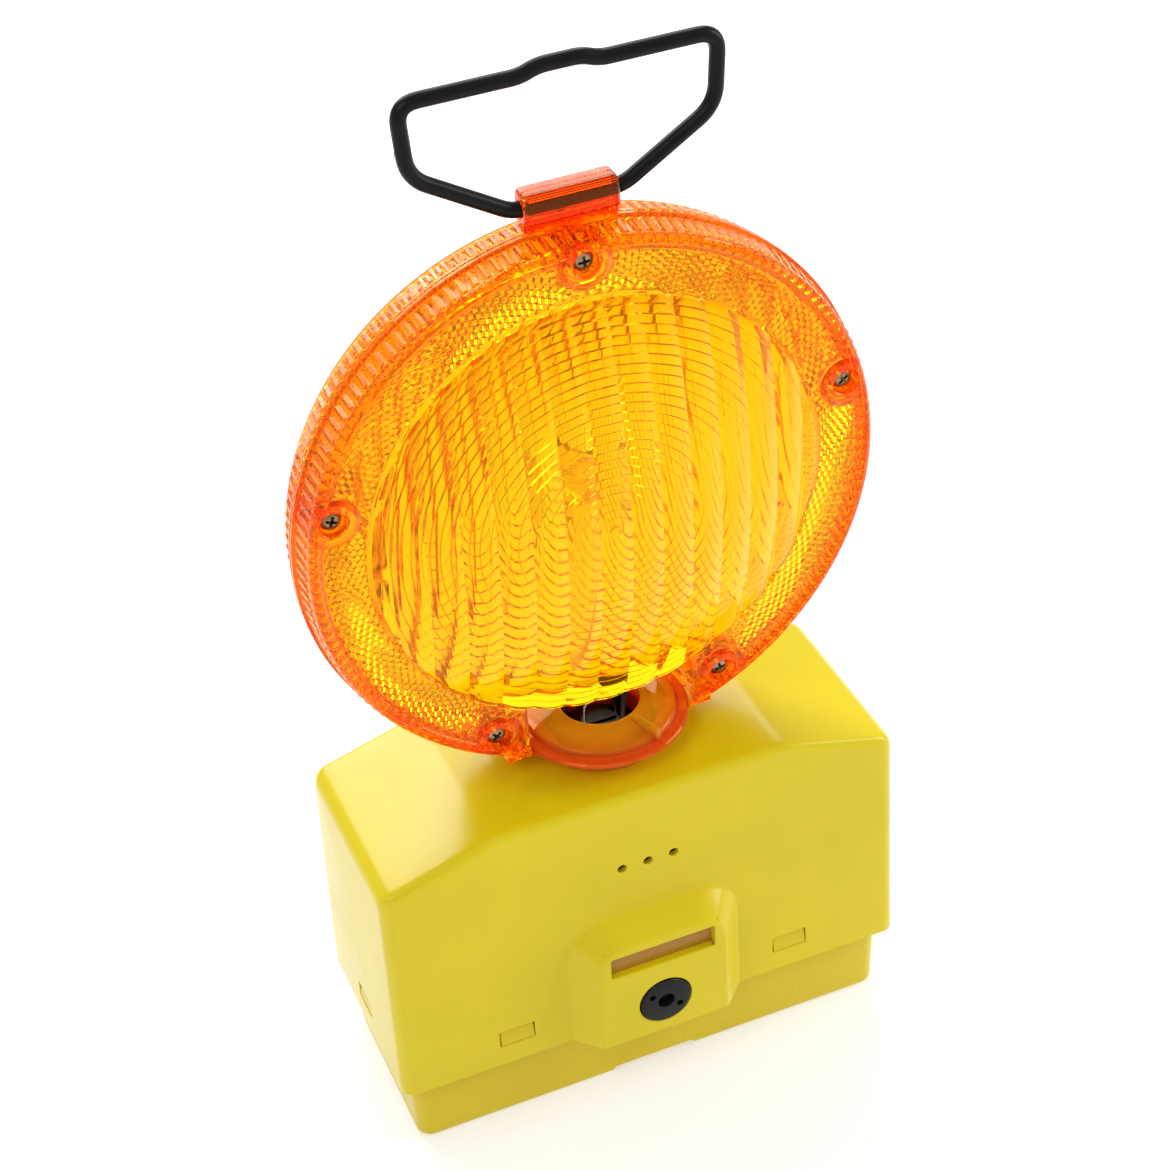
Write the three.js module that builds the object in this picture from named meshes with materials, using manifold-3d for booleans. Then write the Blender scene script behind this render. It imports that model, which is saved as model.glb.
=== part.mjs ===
// Portable hazard warning lamp: a two-battery tray, a lift-off hood with a spanner lock,
// and a round two-sided amber lens head on a turret, with a folding wire handle on top.
// Millimetres, +Z up. The origin is the centre of the tray's underside, +X runs along the
// long side and -Y faces the front.
import * as THREE from 'three';
import { mergeVertices } from 'three/addons/utils/BufferGeometryUtils.js';
import Module from 'manifold-3d';

const wasm = await Module();
wasm.setup();

// ---------------------------------------------------------------- driving dimensions
const GAP = 0.3;                        // clearance between neighbouring pieces
const WALL = 2.5;                       // moulded wall of the hood

const TRAY_LENGTH = 190.5;
const TRAY_DEPTH = 72.5;
const TRAY_HEIGHT = 50;
const TRAY_WALL = 2;
const TRAY_FLOOR = 2.5;
const TRAY_CORNER = 5.5;
const TRAY_EDGE = 3;                    // rounding of the bottom edges
const NOTCH_HALF = 16;                  // finger notches under the front and back edges
const NOTCH_HEIGHT = 3.4;
const TRAY_DRAFT = 0.6;                 // how far the tray's walls lean in towards the floor
const RIB_THICK = 1.6;                  // ribs that keep the batteries apart
const RIB_TOP = 20;
const KEEPER_TOP = 57;                  // tongue on the tray that the lock's cam turns behind
const KEEPER_HALF = 20;
const LEDGE_NEAR = 9.5;                 // the two ledges on the tongue, either side of the cam
const LEDGE_FAR = 16;
const LEDGE_DEEP = 7.2;

const HOOD_FOOT = 31.4;                 // height of the hood's lower edge
const HOOD_LENGTH = 200;
const HOOD_DEPTH = 82;
const SHOULDER_Z = 127;                 // where the end walls meet the sloping shoulders
const SHOULDER_SHRINK_X = 1.3;          // draft of each end wall up to the shoulder
const SHOULDER_SHRINK_Y = 2.1;          // draft of the front and back walls
const PLATFORM_Z = 139;
const PLATFORM_HALF = 57;
const HOOD_CORNER = 5;                  // upright corners
const HOOD_ROUND = 4;                   // top edges

const WINDOW_X = 55;                    // snap windows in the hood and hooks on the tray
const WINDOW_Z = 44.3;
const WINDOW_WIDTH = 13.7;
const WINDOW_HEIGHT = 7.5;

const BOSS_HALF = 33.6;                 // raised panel round the lock
const BOSS_TOP = 86;
const BOSS_CORNER = 17;
const BOSS_RAISE = 9;
const PLATEAU_HALF = 25;
const PLATEAU_TOP = 78.7;
const LABEL_SLOT = { half: 20.5, low: 65.4, high: 75.1, deep: 3 };

const LOCK_Z = 46.4;
const LOCK_RADIUS = 10;
const LOCK_HEAD = 7.7;                  // length of the lock's head
const LOCK_PROUD = 0.6;                 // how far it stands out of the hood
const LOCK_RECESS = 3.2;                // radius of the hollow in the middle of the head
const PIN_RADIUS = 1.2;                 // two holes for the spanner's pins
const PIN_CIRCLE = 6.4;
const PIN_ANGLE = -33;
const SHAFT_RADIUS = 4.5;
const CAM_HALF = 12;
const CAM_WIDTH = 8;

const SIGNAL_Z = 107;                   // row of three small holes
const SIGNAL_PITCH = 10;
const SIGNAL_RADIUS = 1.8;

const BATTERY_SIDE = 66;
const BATTERY_HEIGHT = 101;
const BATTERY_X = 58;
const SPRING_TOP = 120.3;

const HEAD_Z = 242.9;                   // centre of the lens
const RIM_RADIUS = 103;
const OPTIC_RADIUS = 80;
const OPTIC_CROWN = 27;                 // how far the lens bulges from the parting plane
const SCREW_CIRCLE = 93.5;
const POST_REACH = RIM_RADIUS - 3.4;    // the screw posts end inside the rim's wall
const STEM_HALF = 3.5;                  // clear stem that holds the two lamps
const STEM_HEAD = 9;
const SCREW_ANGLES = [90, 14.8, 165.2, -62.9, -117.1];

const COLLAR_RADIUS = 31.8;
const COLLAR_TOP = 149;
const COLLAR_HOLE = 14.5;
const COLLAR_CROWN = 153.6;
const SLEEVE_RADIUS = 20;
const SHOULDER_RADIUS = 23.6;           // the collar's shoulder under its flange
const CUTOUT_RADIUS = 33.8;             // room for the collar in the lens halves

const HANDLE_Z = 353.5;                 // hinge axis of the wire handle
const HANDLE_BAR = 2.6;                 // radius of the bar
const CLIP_HALF = 16;
const CLIP_DEPTH = 5.2;
const CLIP_LOW = 349;
const CLIP_HIGH = 359.5;

// ---------------------------------------------------------------- solids and booleans
function solid(geometry) {
  const bare = geometry.clone();
  bare.deleteAttribute('normal');
  bare.deleteAttribute('uv');
  const merged = mergeVertices(bare, 1e-4);
  const vertProperties = new Float32Array(merged.attributes.position.array);
  const index = merged.index.array;
  const kept = [];
  let volume = 0;
  const corner = (i) => new THREE.Vector3().fromArray(vertProperties, 3 * i);
  for (let i = 0; i < index.length; i += 3) {
    const [a, b, c] = [index[i], index[i + 1], index[i + 2]];
    if (a === b || b === c || c === a) continue;
    kept.push([a, b, c]);
    volume += corner(a).dot(corner(b).cross(corner(c)));
  }
  const facing = volume < 0 ? kept.map(([a, b, c]) => [a, c, b]) : kept;
  const triVerts = new Uint32Array(facing.flat());
  return new wasm.Manifold(new wasm.Mesh({ numProp: 3, vertProperties, triVerts }));
}

function geometryOf(body) {
  const { vertProperties, triVerts, numProp } = body.getMesh();
  const positions = [];
  for (let i = 0; i < vertProperties.length; i += numProp) {
    positions.push(vertProperties[i], vertProperties[i + 1], vertProperties[i + 2]);
  }
  const geometry = new THREE.BufferGeometry();
  geometry.setAttribute('position', new THREE.Float32BufferAttribute(positions, 3));
  geometry.setIndex(Array.from(triVerts));
  const faceted = geometry.toNonIndexed();
  faceted.computeVertexNormals();
  return faceted;
}

const join = (first, ...rest) => rest.reduce((sum, next) => sum.add(next), first);
const cut = (first, ...rest) => rest.reduce((left, next) => left.subtract(next), first);

// ---------------------------------------------------------------- basic shapes
// The stretch from near to far, on the left (side -1) or on the right (side 1).
const onSide = (side, near, far) => (side < 0 ? [-far, -near] : [near, far]);

function box([x0, x1], [y0, y1], [z0, z1]) {
  const geometry = new THREE.BoxGeometry(x1 - x0, y1 - y0, z1 - z0);
  geometry.translate((x0 + x1) / 2, (y0 + y1) / 2, (z0 + z1) / 2);
  return solid(geometry);
}

function rodZ(radius, [x, y], [z0, z1], sides = 24) {
  const geometry = new THREE.CylinderGeometry(radius, radius, z1 - z0, sides);
  geometry.rotateX(Math.PI / 2);
  geometry.translate(x, y, (z0 + z1) / 2);
  return solid(geometry);
}

function rodY(radius, [x, z], [y0, y1], sides = 24) {
  const geometry = new THREE.CylinderGeometry(radius, radius, y1 - y0, sides);
  geometry.translate(x, (y0 + y1) / 2, z);
  return solid(geometry);
}

function rodX(radius, [y, z], [x0, x1], sides = 24) {
  const geometry = new THREE.CylinderGeometry(radius, radius, x1 - x0, sides);
  geometry.rotateZ(Math.PI / 2);
  geometry.translate((x0 + x1) / 2, y, z);
  return solid(geometry);
}

// A ring or cup turned about the upright line through (x, y); profile is a closed loop of
// [radius, z] pairs, or one that starts and ends on the axis.
function turnedZ(profile, sides = 40, [x, y] = [0, 0]) {
  const points = profile.map(([radius, z]) => new THREE.Vector2(radius, z));
  const geometry = new THREE.LatheGeometry(points, sides);
  geometry.rotateX(Math.PI / 2);
  geometry.translate(x, y, 0);
  return solid(geometry);
}

// The same, turned about the front-to-back line through (x, z).
function turnedY(profile, sides, [x, z]) {
  const points = profile.map(([radius, y]) => new THREE.Vector2(radius, y));
  const geometry = new THREE.LatheGeometry(points, sides);
  geometry.translate(x, 0, z);
  return solid(geometry);
}

// An outline whose corners are rounded, each by its own radius.
function roundedOutline(corners) {
  const shape = new THREE.Shape();
  corners.forEach(([x, y, radius], i) => {
    const at = new THREE.Vector2(x, y);
    const [beforeX, beforeY] = corners[(i + corners.length - 1) % corners.length];
    const [afterX, afterY] = corners[(i + 1) % corners.length];
    const before = new THREE.Vector2(beforeX, beforeY).sub(at).setLength(radius).add(at);
    const after = new THREE.Vector2(afterX, afterY).sub(at).setLength(radius).add(at);
    if (i === 0) shape.moveTo(before.x, before.y);
    else shape.lineTo(before.x, before.y);
    if (radius > 0) shape.quadraticCurveTo(x, y, after.x, after.y);
  });
  shape.closePath();
  return shape;
}

function roundedRectangle(length, depth, radius) {
  const [a, b] = [length / 2, depth / 2];
  return roundedOutline([[-a, -b, radius], [a, -b, radius], [a, b, radius], [-a, b, radius]]);
}

// Extrudes an outline in steps and moves each layer: place(u, v, layer) gives [x, y, z].
function layered(shape, layers, place, curveSegments = 4) {
  const steps = layers.length - 1;
  const options = { depth: steps, steps, bevelEnabled: false, curveSegments };
  const geometry = new THREE.ExtrudeGeometry(shape, options);
  const position = geometry.attributes.position;
  for (let i = 0; i < position.count; i += 1) {
    const layer = layers[Math.round(position.getZ(i))];
    position.setXYZ(i, ...place(position.getX(i), position.getY(i), layer));
  }
  return solid(geometry);
}

function prismZ(shape, z0, z1, curveSegments = 4) {
  return layered(shape, [z0, z1], (x, y, z) => [x, y, z], curveSegments);
}

// An outline drawn in X and Z, extruded from y0 to y1.
function prismY(shape, y0, y1, curveSegments = 4) {
  return layered(shape, [y0, y1], (x, z, y) => [x, y, z], curveSegments);
}

// A round wire or bar along a curve.
function wire(path, radius, sides, steps) {
  const section = new THREE.Shape();
  for (let i = 0; i < sides; i += 1) {
    const angle = (2 * Math.PI * i) / sides;
    const [x, y] = [radius * Math.cos(angle), radius * Math.sin(angle)];
    if (i === 0) section.moveTo(x, y);
    else section.lineTo(x, y);
  }
  section.closePath();
  return solid(new THREE.ExtrudeGeometry(section, { steps, extrudePath: path, bevelEnabled: false }));
}

// ---------------------------------------------------------------- materials
function finish(color, roughness, metalness = 0, opacity = 1) {
  return new THREE.MeshStandardMaterial({
    color, roughness, metalness, opacity, transparent: opacity < 1,
  });
}

const yellow = finish(0xe2cf22, 0.3);
const amber = finish(0xff9d12, 0.15, 0, 0.75);
const black = finish(0x1c1b1a, 0.5);
const steel = finish(0xb9bcc0, 0.3, 1);
const brass = finish(0xc8a04a, 0.35, 1);
const boardGreen = finish(0x1f6b3a, 0.5);
const whitePlastic = finish(0xe9e9e2, 0.5);
const jacket = finish(0x274a8c, 0.35);
const carrierGrey = finish(0x8d8f8c, 0.55);
const sealSilicone = finish(0xe8a93c, 0.7);
const ledClear = finish(0xfff0b0, 0.1, 0, 0.7);
const cellGlass = finish(0x6a2a20, 0.2);

const lamp = new THREE.Group();

function piece(name, body, material) {
  const mesh = new THREE.Mesh(geometryOf(body), material);
  mesh.name = name;
  lamp.add(mesh);
}

// ---------------------------------------------------------------- tray
function rectangularLayers(length, depth, corner, layers) {
  const scale = (size, inset) => 1 - (2 * inset) / size;
  const place = (x, y, { z, inset }) => [x * scale(length, inset), y * scale(depth, inset), z];
  return layered(roundedRectangle(length, depth, corner), layers, place);
}

// Layers that round a bottom edge in quarter-circle steps, then rise straight to the top.
function roundedFootLayers(radius, draft, top) {
  const steps = [0, 30, 60, 90].map((degrees) => {
    const angle = (degrees * Math.PI) / 180;
    return { z: radius * (1 - Math.cos(angle)), inset: draft + radius * (1 - Math.sin(angle)) };
  });
  return [...steps, { z: HOOD_FOOT, inset: 0 }, { z: top, inset: 0 }];
}

const hoodInnerDepth = (z) =>
  HOOD_DEPTH / 2 - (SHOULDER_SHRINK_Y * (z - HOOD_FOOT)) / (SHOULDER_Z - HOOD_FOOT) - WALL;
const hoodInnerLength = (z) =>
  HOOD_LENGTH / 2 - (SHOULDER_SHRINK_X * (z - HOOD_FOOT)) / (SHOULDER_Z - HOOD_FOOT) - WALL;

// A snap hook on a wall that faces -Y: a ramp that ends in a square lower edge.
function frontHook(x, wall, reach) {
  const half = WINDOW_WIDTH / 2 - 1.2;
  const low = WINDOW_Z - WINDOW_HEIGHT / 2 + 0.8;
  const ramp = roundedOutline([[wall + 0.5, low, 0], [reach, low, 0], [reach, low + 2, 0],
    [wall + 0.5, low + WINDOW_HEIGHT - 1, 0]]);
  return layered(ramp, [x - half, x + half], (y, z, across) => [across, -y, z]);
}

function tray() {
  const shell = rectangularLayers(TRAY_LENGTH, TRAY_DEPTH, TRAY_CORNER,
    roundedFootLayers(TRAY_EDGE, TRAY_DRAFT, TRAY_HEIGHT));
  const roomLength = TRAY_LENGTH - 2 * TRAY_WALL;
  const roomDepth = TRAY_DEPTH - 2 * TRAY_WALL;
  const room = rectangularLayers(roomLength, roomDepth, TRAY_CORNER - TRAY_WALL, [
    { z: TRAY_FLOOR, inset: 1 },
    { z: TRAY_EDGE, inset: TRAY_DRAFT },
    { z: HOOD_FOOT, inset: 0 },
    { z: TRAY_HEIGHT + 1, inset: 0 },
  ]);
  let body = cut(shell, room);

  // Ribs that keep the batteries apart.
  const ribFar = BATTERY_X - BATTERY_SIDE / 2 - 2 * GAP;
  const ribDepth = [-TRAY_DEPTH / 2 + 1, TRAY_DEPTH / 2 - 1];
  for (const side of [-1, 1]) {
    const span = onSide(side, ribFar - RIB_THICK, ribFar);
    body = join(body, box(span, ribDepth, [TRAY_FLOOR - 0.5, RIB_TOP]));
  }

  // Finger notches, with the floor carried over them.
  const notch = roundedOutline([[-NOTCH_HALF - 2, -1, 0], [NOTCH_HALF + 2, -1, 0],
    [NOTCH_HALF, NOTCH_HEIGHT, 0.8], [-NOTCH_HALF, NOTCH_HEIGHT, 0.8]]);
  for (const side of [-1, 1]) {
    const reach = NOTCH_HALF + 4;
    const wall = TRAY_DEPTH / 2;
    const padHeight = [TRAY_FLOOR - 0.5, NOTCH_HEIGHT + 2];
    body = join(body, box([-reach, reach], onSide(side, wall - 8, wall - 1.8), padHeight));
    body = cut(body, prismY(notch, ...onSide(side, wall - 6, wall + 1)));
  }

  // Keeper for the lock: a tongue with an open slot, and two ledges behind it.
  const face = -TRAY_DEPTH / 2;
  const camSweep = Math.hypot(CAM_HALF, CAM_WIDTH / 2) + 0.5;
  const tongue = box([-KEEPER_HALF, KEEPER_HALF], [face, face + TRAY_WALL], [TRAY_HEIGHT - 8, KEEPER_TOP]);
  body = join(body, tongue);
  for (const side of [-1, 1]) {
    const span = onSide(side, LEDGE_NEAR, LEDGE_FAR);
    const ledge = box(span, [face + TRAY_WALL - 0.2, face + LEDGE_DEEP], [LOCK_Z + 3, KEEPER_TOP - 1.2]);
    const sweep = rodY(camSweep, [0, LOCK_Z], [face + TRAY_WALL, face + LEDGE_DEEP + 1], 32);
    body = join(body, cut(ledge, sweep));
  }
  const slotHalf = SHAFT_RADIUS + 0.8;
  const slotDepth = [face - 2, face + TRAY_WALL + 0.5];
  body = cut(body, rodY(slotHalf, [0, LOCK_Z], slotDepth),
    box([-slotHalf, slotHalf], slotDepth, [LOCK_Z, KEEPER_TOP + 2]));

  // Snap hooks behind the hood's windows.
  const frontWall = TRAY_DEPTH / 2 - 0.5;
  const frontReach = hoodInnerDepth(WINDOW_Z + WINDOW_HEIGHT / 2) - GAP;
  const endWall = TRAY_LENGTH / 2 - 0.5;
  const endReach = hoodInnerLength(WINDOW_Z + WINDOW_HEIGHT / 2) - GAP;
  for (const x of [-WINDOW_X, WINDOW_X]) {
    const hook = frontHook(x, frontWall, frontReach);
    body = join(body, hook, hook.rotate([0, 0, 180]));
  }
  const endHook = frontHook(0, endWall, endReach);
  return join(body, endHook.rotate([0, 0, 90]), endHook.rotate([0, 0, -90]));
}

// ---------------------------------------------------------------- batteries
function battery(x) {
  const half = BATTERY_SIDE / 2;
  const low = TRAY_FLOOR + GAP;
  const high = low + BATTERY_HEIGHT;
  const layers = [
    { z: low, share: 0.97 },
    { z: low + 1.5, share: 1 },
    { z: high - 4, share: 1 },
    { z: high - 4, share: 0.94 },
    { z: high, share: 0.94 },
  ];
  const place = (u, v, { z, share }) => [x + u * share, v * share, z];
  const can = layered(roundedRectangle(BATTERY_SIDE, BATTERY_SIDE, 7), layers, place, 3);
  return cut(can, box([x - half - 1, x - half + 3], [-0.5, 0.5], [high - 4.5, high + 1]));
}

// A conical contact spring, wide at the battery and narrow at the top.
class SpringCurve extends THREE.Curve {
  constructor(x, y, low, high) {
    super();
    Object.assign(this, { x, y, low, high });
  }

  getPoint(t, target = new THREE.Vector3()) {
    const turns = 3.5;
    const radius = THREE.MathUtils.lerp(8, 3.4, t);
    const angle = 2 * Math.PI * turns * t;
    return target.set(this.x + radius * Math.cos(angle), this.y + radius * Math.sin(angle),
      THREE.MathUtils.lerp(this.low, this.high, t));
  }
}

function spring(x, y) {
  const wireRadius = 0.6;
  const low = TRAY_FLOOR + GAP + BATTERY_HEIGHT + wireRadius + GAP;
  return wire(new SpringCurve(x, y, low, SPRING_TOP - wireRadius), wireRadius, 5, 30);
}

// ---------------------------------------------------------------- hood
// Height of the roof line, in from the walls by `inset`, at a distance x from the middle.
function roofHeight(x, inset) {
  const run = HOOD_LENGTH / 2 - SHOULDER_SHRINK_X - PLATFORM_HALF;
  const slope = (PLATFORM_Z - SHOULDER_Z) / run;
  const beyond = Math.max(0, Math.abs(x) - PLATFORM_HALF);
  return PLATFORM_Z - slope * beyond - inset;
}

// One block with a rounded, ridged roof, drafted walls and rounded corners. The hood's outside
// is this block, and its hollow is the same block drawn in by the wall.
function hoodBlock(inset, foot) {
  const halfLength = HOOD_LENGTH / 2 - inset;
  const halfDepth = HOOD_DEPTH / 2 - inset;
  const round = HOOD_ROUND - inset / 2;
  const corner = HOOD_CORNER - inset;
  const section = new THREE.Shape();
  section.moveTo(-halfDepth, foot);
  section.lineTo(halfDepth, foot);
  section.lineTo(halfDepth, PLATFORM_Z - round);
  section.quadraticCurveTo(halfDepth, PLATFORM_Z, halfDepth - round, PLATFORM_Z);
  section.lineTo(-halfDepth + round, PLATFORM_Z);
  section.quadraticCurveTo(-halfDepth, PLATFORM_Z, -halfDepth, PLATFORM_Z - round);
  section.closePath();

  const ends = [0, 15, 35, 60, 90].map((degrees) => {
    const angle = (degrees * Math.PI) / 180;
    return {
      x: halfLength - corner * (1 - Math.sin(angle)),
      pull: corner * (1 - Math.cos(angle)),
    };
  });
  const right = [{ x: PLATFORM_HALF, pull: 0 }, ...ends];
  const left = right.map(({ x, pull }) => ({ x: -x, pull })).reverse();
  const place = (y, z, { x, pull }) => {
    const top = roofHeight(x, inset) - pull * 0.8;
    const rise = z > foot ? z - PLATFORM_Z + top : z;
    const share = (rise - HOOD_FOOT) / (SHOULDER_Z - HOOD_FOOT);
    const depthScale = 1 - (pull + SHOULDER_SHRINK_Y * share) / halfDepth;
    const lengthScale = 1 - (SHOULDER_SHRINK_X * share) / halfLength;
    return [x * lengthScale, y * depthScale, rise];
  };
  return layered(section, [...left, ...right], place, 4);
}

function bossBlock(inset, back) {
  const foot = inset > 0 ? HOOD_FOOT - 5 : HOOD_FOOT;
  const outline = roundedOutline([
    [-BOSS_HALF + inset, foot, 0],
    [BOSS_HALF - inset, foot, 0],
    [BOSS_HALF - inset, BOSS_TOP - inset, BOSS_CORNER - inset],
    [-BOSS_HALF + inset, BOSS_TOP - inset, BOSS_CORNER - inset]]);
  const front = -HOOD_DEPTH / 2 - BOSS_RAISE + inset;
  const narrow = PLATEAU_HALF / BOSS_HALF;
  const lower = (PLATEAU_TOP - HOOD_FOOT) / (BOSS_TOP - HOOD_FOOT);
  const layers = [{ y: back, kx: 1, kz: 1 }, { y: -HOOD_DEPTH / 2 + inset, kx: 1, kz: 1 },
    { y: front, kx: narrow, kz: lower }];
  const place = (x, z, { y, kx, kz }) => [x * kx, y, HOOD_FOOT + (z - HOOD_FOOT) * kz];
  return layered(outline, layers, place, 5);
}

// Where the contact carrier's four screws go.
const CARRIER_POSTS = [[-75, -18], [75, -18], [-75, 11], [75, 11]];
const CARRIER_LOW = 121.5;
const CARRIER_HIGH = 124;

// Where the circuit board's two screws go, and the board's place behind the front wall.
const BOARD_POSTS = [[-18, 112], [18, 112]];
const BOARD_FRONT = -33.8;
const BOARD_THICK = 1.6;

function hood() {
  let body = join(hoodBlock(0, HOOD_FOOT), bossBlock(0, -HOOD_DEPTH / 2 + 4));
  body = cut(body, hoodBlock(WALL, HOOD_FOOT - 5), bossBlock(WALL, -HOOD_DEPTH / 2 + 6));
  const front = -HOOD_DEPTH / 2 - BOSS_RAISE;

  // Label slot, with its own floor behind it.
  const { half, low, high, deep } = LABEL_SLOT;
  const slotRoom = roundedOutline([
    [-half, low, 1.5], [half, low, 1.5], [half, high, 1.5], [-half, high, 1.5]]);
  body = join(body, box([-half - 2, half + 2], [front + 1, front + deep + 2], [low - 2, high + 2]));
  body = cut(body, prismY(slotRoom, front - 1, front + deep, 2));

  // Bushing for the lock: a cup open to the front, with a bore for the shaft.
  const cupBack = front + 9.5;
  body = join(body, rodY(LOCK_RADIUS + 2.6, [0, LOCK_Z], [front + 1, cupBack], 32));
  body = cut(body, rodY(LOCK_RADIUS + GAP, [0, LOCK_Z], [front - 1, cupBack - 2], 32),
    rodY(SHAFT_RADIUS + GAP, [0, LOCK_Z], [front - 1, cupBack + 1]));

  // Posts inside, for the carrier above the batteries and for the circuit board.
  for (const [x, y] of CARRIER_POSTS) {
    const roof = roofHeight(x, WALL) + 1.5;
    body = join(body, rodZ(3.8, [x, y], [CARRIER_HIGH + GAP, roof], 16));
    body = cut(body, rodZ(1.8, [x, y], [CARRIER_HIGH, CARRIER_HIGH + 5.5], 10));
  }
  for (const [x, z] of BOARD_POSTS) {
    body = join(body, rodY(3, [x, z], [-hoodInnerDepth(z) - 1.2, BOARD_FRONT - GAP], 14));
    body = cut(body, rodY(1.3, [x, z], [-hoodInnerDepth(z) + 0.3, BOARD_FRONT], 8));
  }

  // Openings: turret hole, signal holes and snap windows.
  body = cut(body, rodZ(SLEEVE_RADIUS + 0.5, [0, 0], [PLATFORM_Z - 8, PLATFORM_Z + 2], 40));
  for (const step of [-1, 0, 1]) {
    body = cut(body, rodY(SIGNAL_RADIUS, [step * SIGNAL_PITCH, SIGNAL_Z], [-HOOD_DEPTH / 2, -34], 16));
  }
  const windowSpan = [WINDOW_Z - WINDOW_HEIGHT / 2, WINDOW_Z + WINDOW_HEIGHT / 2];
  const windowHalf = WINDOW_WIDTH / 2;
  for (const x of [-WINDOW_X, WINDOW_X]) {
    body = cut(body, box([x - windowHalf, x + windowHalf], [-HOOD_DEPTH, HOOD_DEPTH], windowSpan));
  }
  body = cut(body, box([-HOOD_LENGTH, HOOD_LENGTH], [-windowHalf, windowHalf], windowSpan));
  return body;
}

// ---------------------------------------------------------------- lock
const LOCK_FACE = -HOOD_DEPTH / 2 - BOSS_RAISE - LOCK_PROUD;

// Head of the lock: a drum with a hollow and two pin holes for the spanner.
function lockPlug() {
  const back = LOCK_FACE + LOCK_HEAD;
  const bevel = 0.8;
  const profile = [[0, LOCK_FACE], [LOCK_RADIUS - bevel, LOCK_FACE], [LOCK_RADIUS, LOCK_FACE + bevel],
    [LOCK_RADIUS, back], [0, back]];
  let body = turnedY(profile, 20, [0, LOCK_Z]);
  body = cut(body, rodY(LOCK_RECESS, [0, LOCK_Z], [LOCK_FACE - 1, LOCK_FACE + 3.5], 12));
  const across = PIN_CIRCLE * Math.cos((PIN_ANGLE * Math.PI) / 180);
  const rise = PIN_CIRCLE * Math.sin((PIN_ANGLE * Math.PI) / 180);
  for (const side of [-1, 1]) {
    const pin = rodY(PIN_RADIUS, [side * across, LOCK_Z + side * rise], [LOCK_FACE - 1, LOCK_FACE + 4], 8);
    body = cut(body, pin);
  }
  return body;
}

const CLIP_GROOVE = { from: -40.4, to: -38.6, radius: 3.7 };
const THREAD = { from: -33.8, to: -26, radius: 2.9 };

// Steel shaft behind the head, with a groove for its spring clip and a threaded end.
function lockShaft() {
  const front = LOCK_FACE + LOCK_HEAD + GAP;
  const profile = [[0, front], [SHAFT_RADIUS, front], [SHAFT_RADIUS, CLIP_GROOVE.from],
    [CLIP_GROOVE.radius, CLIP_GROOVE.from], [CLIP_GROOVE.radius, CLIP_GROOVE.to],
    [SHAFT_RADIUS, CLIP_GROOVE.to], [SHAFT_RADIUS, THREAD.from],
    [THREAD.radius, THREAD.from], [THREAD.radius, THREAD.to], [0, THREAD.to]];
  return turnedY(profile, 20, [0, LOCK_Z]);
}

function lockClip() {
  const span = [CLIP_GROOVE.from + GAP, CLIP_GROOVE.to - GAP];
  const through = [span[0] - 1, span[1] + 1];
  const bore = rodY(CLIP_GROOVE.radius + GAP, [0, LOCK_Z], through, 16);
  return cut(rodY(8, [0, LOCK_Z], span, 16), bore, box([-2.2, 2.2], through, [LOCK_Z - 12, LOCK_Z]));
}

// The cam stands upright at rest; a quarter turn takes it under the keeper's ledges.
function lockCam() {
  const side = CAM_WIDTH / 2;
  const [low, high] = [LOCK_Z - CAM_HALF, LOCK_Z + CAM_HALF];
  const outline = roundedOutline([[-side, low, 3], [side, low, 3], [side, high, 3], [-side, high, 3]]);
  return cut(prismY(outline, -33.4, -30.6, 3), rodY(THREAD.radius + GAP, [0, LOCK_Z], [-35, -29], 16));
}

function hexNut([x, z], [y0, y1], across, hole) {
  return cut(rodY(across / Math.sqrt(3), [x, z], [y0, y1], 6), rodY(hole, [x, z], [y0 - 1, y1 + 1], 16));
}

// ---------------------------------------------------------------- contacts and circuit
function contactCarrier() {
  let body = prismZ(roundedRectangle(176, 56, 6), CARRIER_LOW, CARRIER_HIGH, 3);
  for (const [x, y] of CARRIER_POSTS) {
    body = cut(body, rodZ(1.8, [x, y], [CARRIER_LOW - 1, CARRIER_HIGH + 1], 12));
  }
  return body;
}

const STRIP_HIGH = CARRIER_LOW - GAP;
const STRIP_LOW = STRIP_HIGH - 0.6;

function contactStrip(x0, x1, y) {
  const strip = box([x0, x1], [y - 6, y + 6], [STRIP_LOW, STRIP_HIGH]);
  const tab = box([-3, 3], [y - 9, y - 5.5], [STRIP_LOW, STRIP_HIGH]);
  return join(strip, tab);
}

function panScrewZ([x, y], headLow) {
  const head = rodZ(2.9, [x, y], [headLow, headLow + 1.6], 14);
  const shaft = rodZ(1.4, [x, y], [headLow + 1, headLow + 9], 10);
  return join(head, shaft);
}

function circuitBoard() {
  const plate = box([-22, 22], [BOARD_FRONT, BOARD_FRONT + BOARD_THICK], [88, 118]);
  const holes = BOARD_POSTS.map(([x, z]) => rodY(1.4, [x, z], [BOARD_FRONT - 1, BOARD_FRONT + 3], 10));
  const back = BOARD_FRONT + BOARD_THICK;
  const chip = box([-7, 5], [back - 0.2, back + 1.4], [96, 102]);
  const capacitor = rodY(4, [12, 99], [back - 0.2, back + 5], 16);
  return join(cut(plate, ...holes), chip, capacitor);
}

function boardScrew([x, z]) {
  const back = BOARD_FRONT + BOARD_THICK + GAP;
  return join(rodY(2.4, [x, z], [back, back + 1.4], 12), rodY(1, [x, z], [BOARD_FRONT - 2, back + 0.5], 8));
}

function domeLight([x, z], radius, tip) {
  const base = BOARD_FRONT - GAP;
  const profile = [[0, base], [radius, base], [radius, tip + radius * 0.6],
    [radius * 0.7, tip + radius * 0.15], [0, tip]];
  return turnedY(profile, 16, [x, z]);
}

const SWITCH_LOW = 78;

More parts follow.
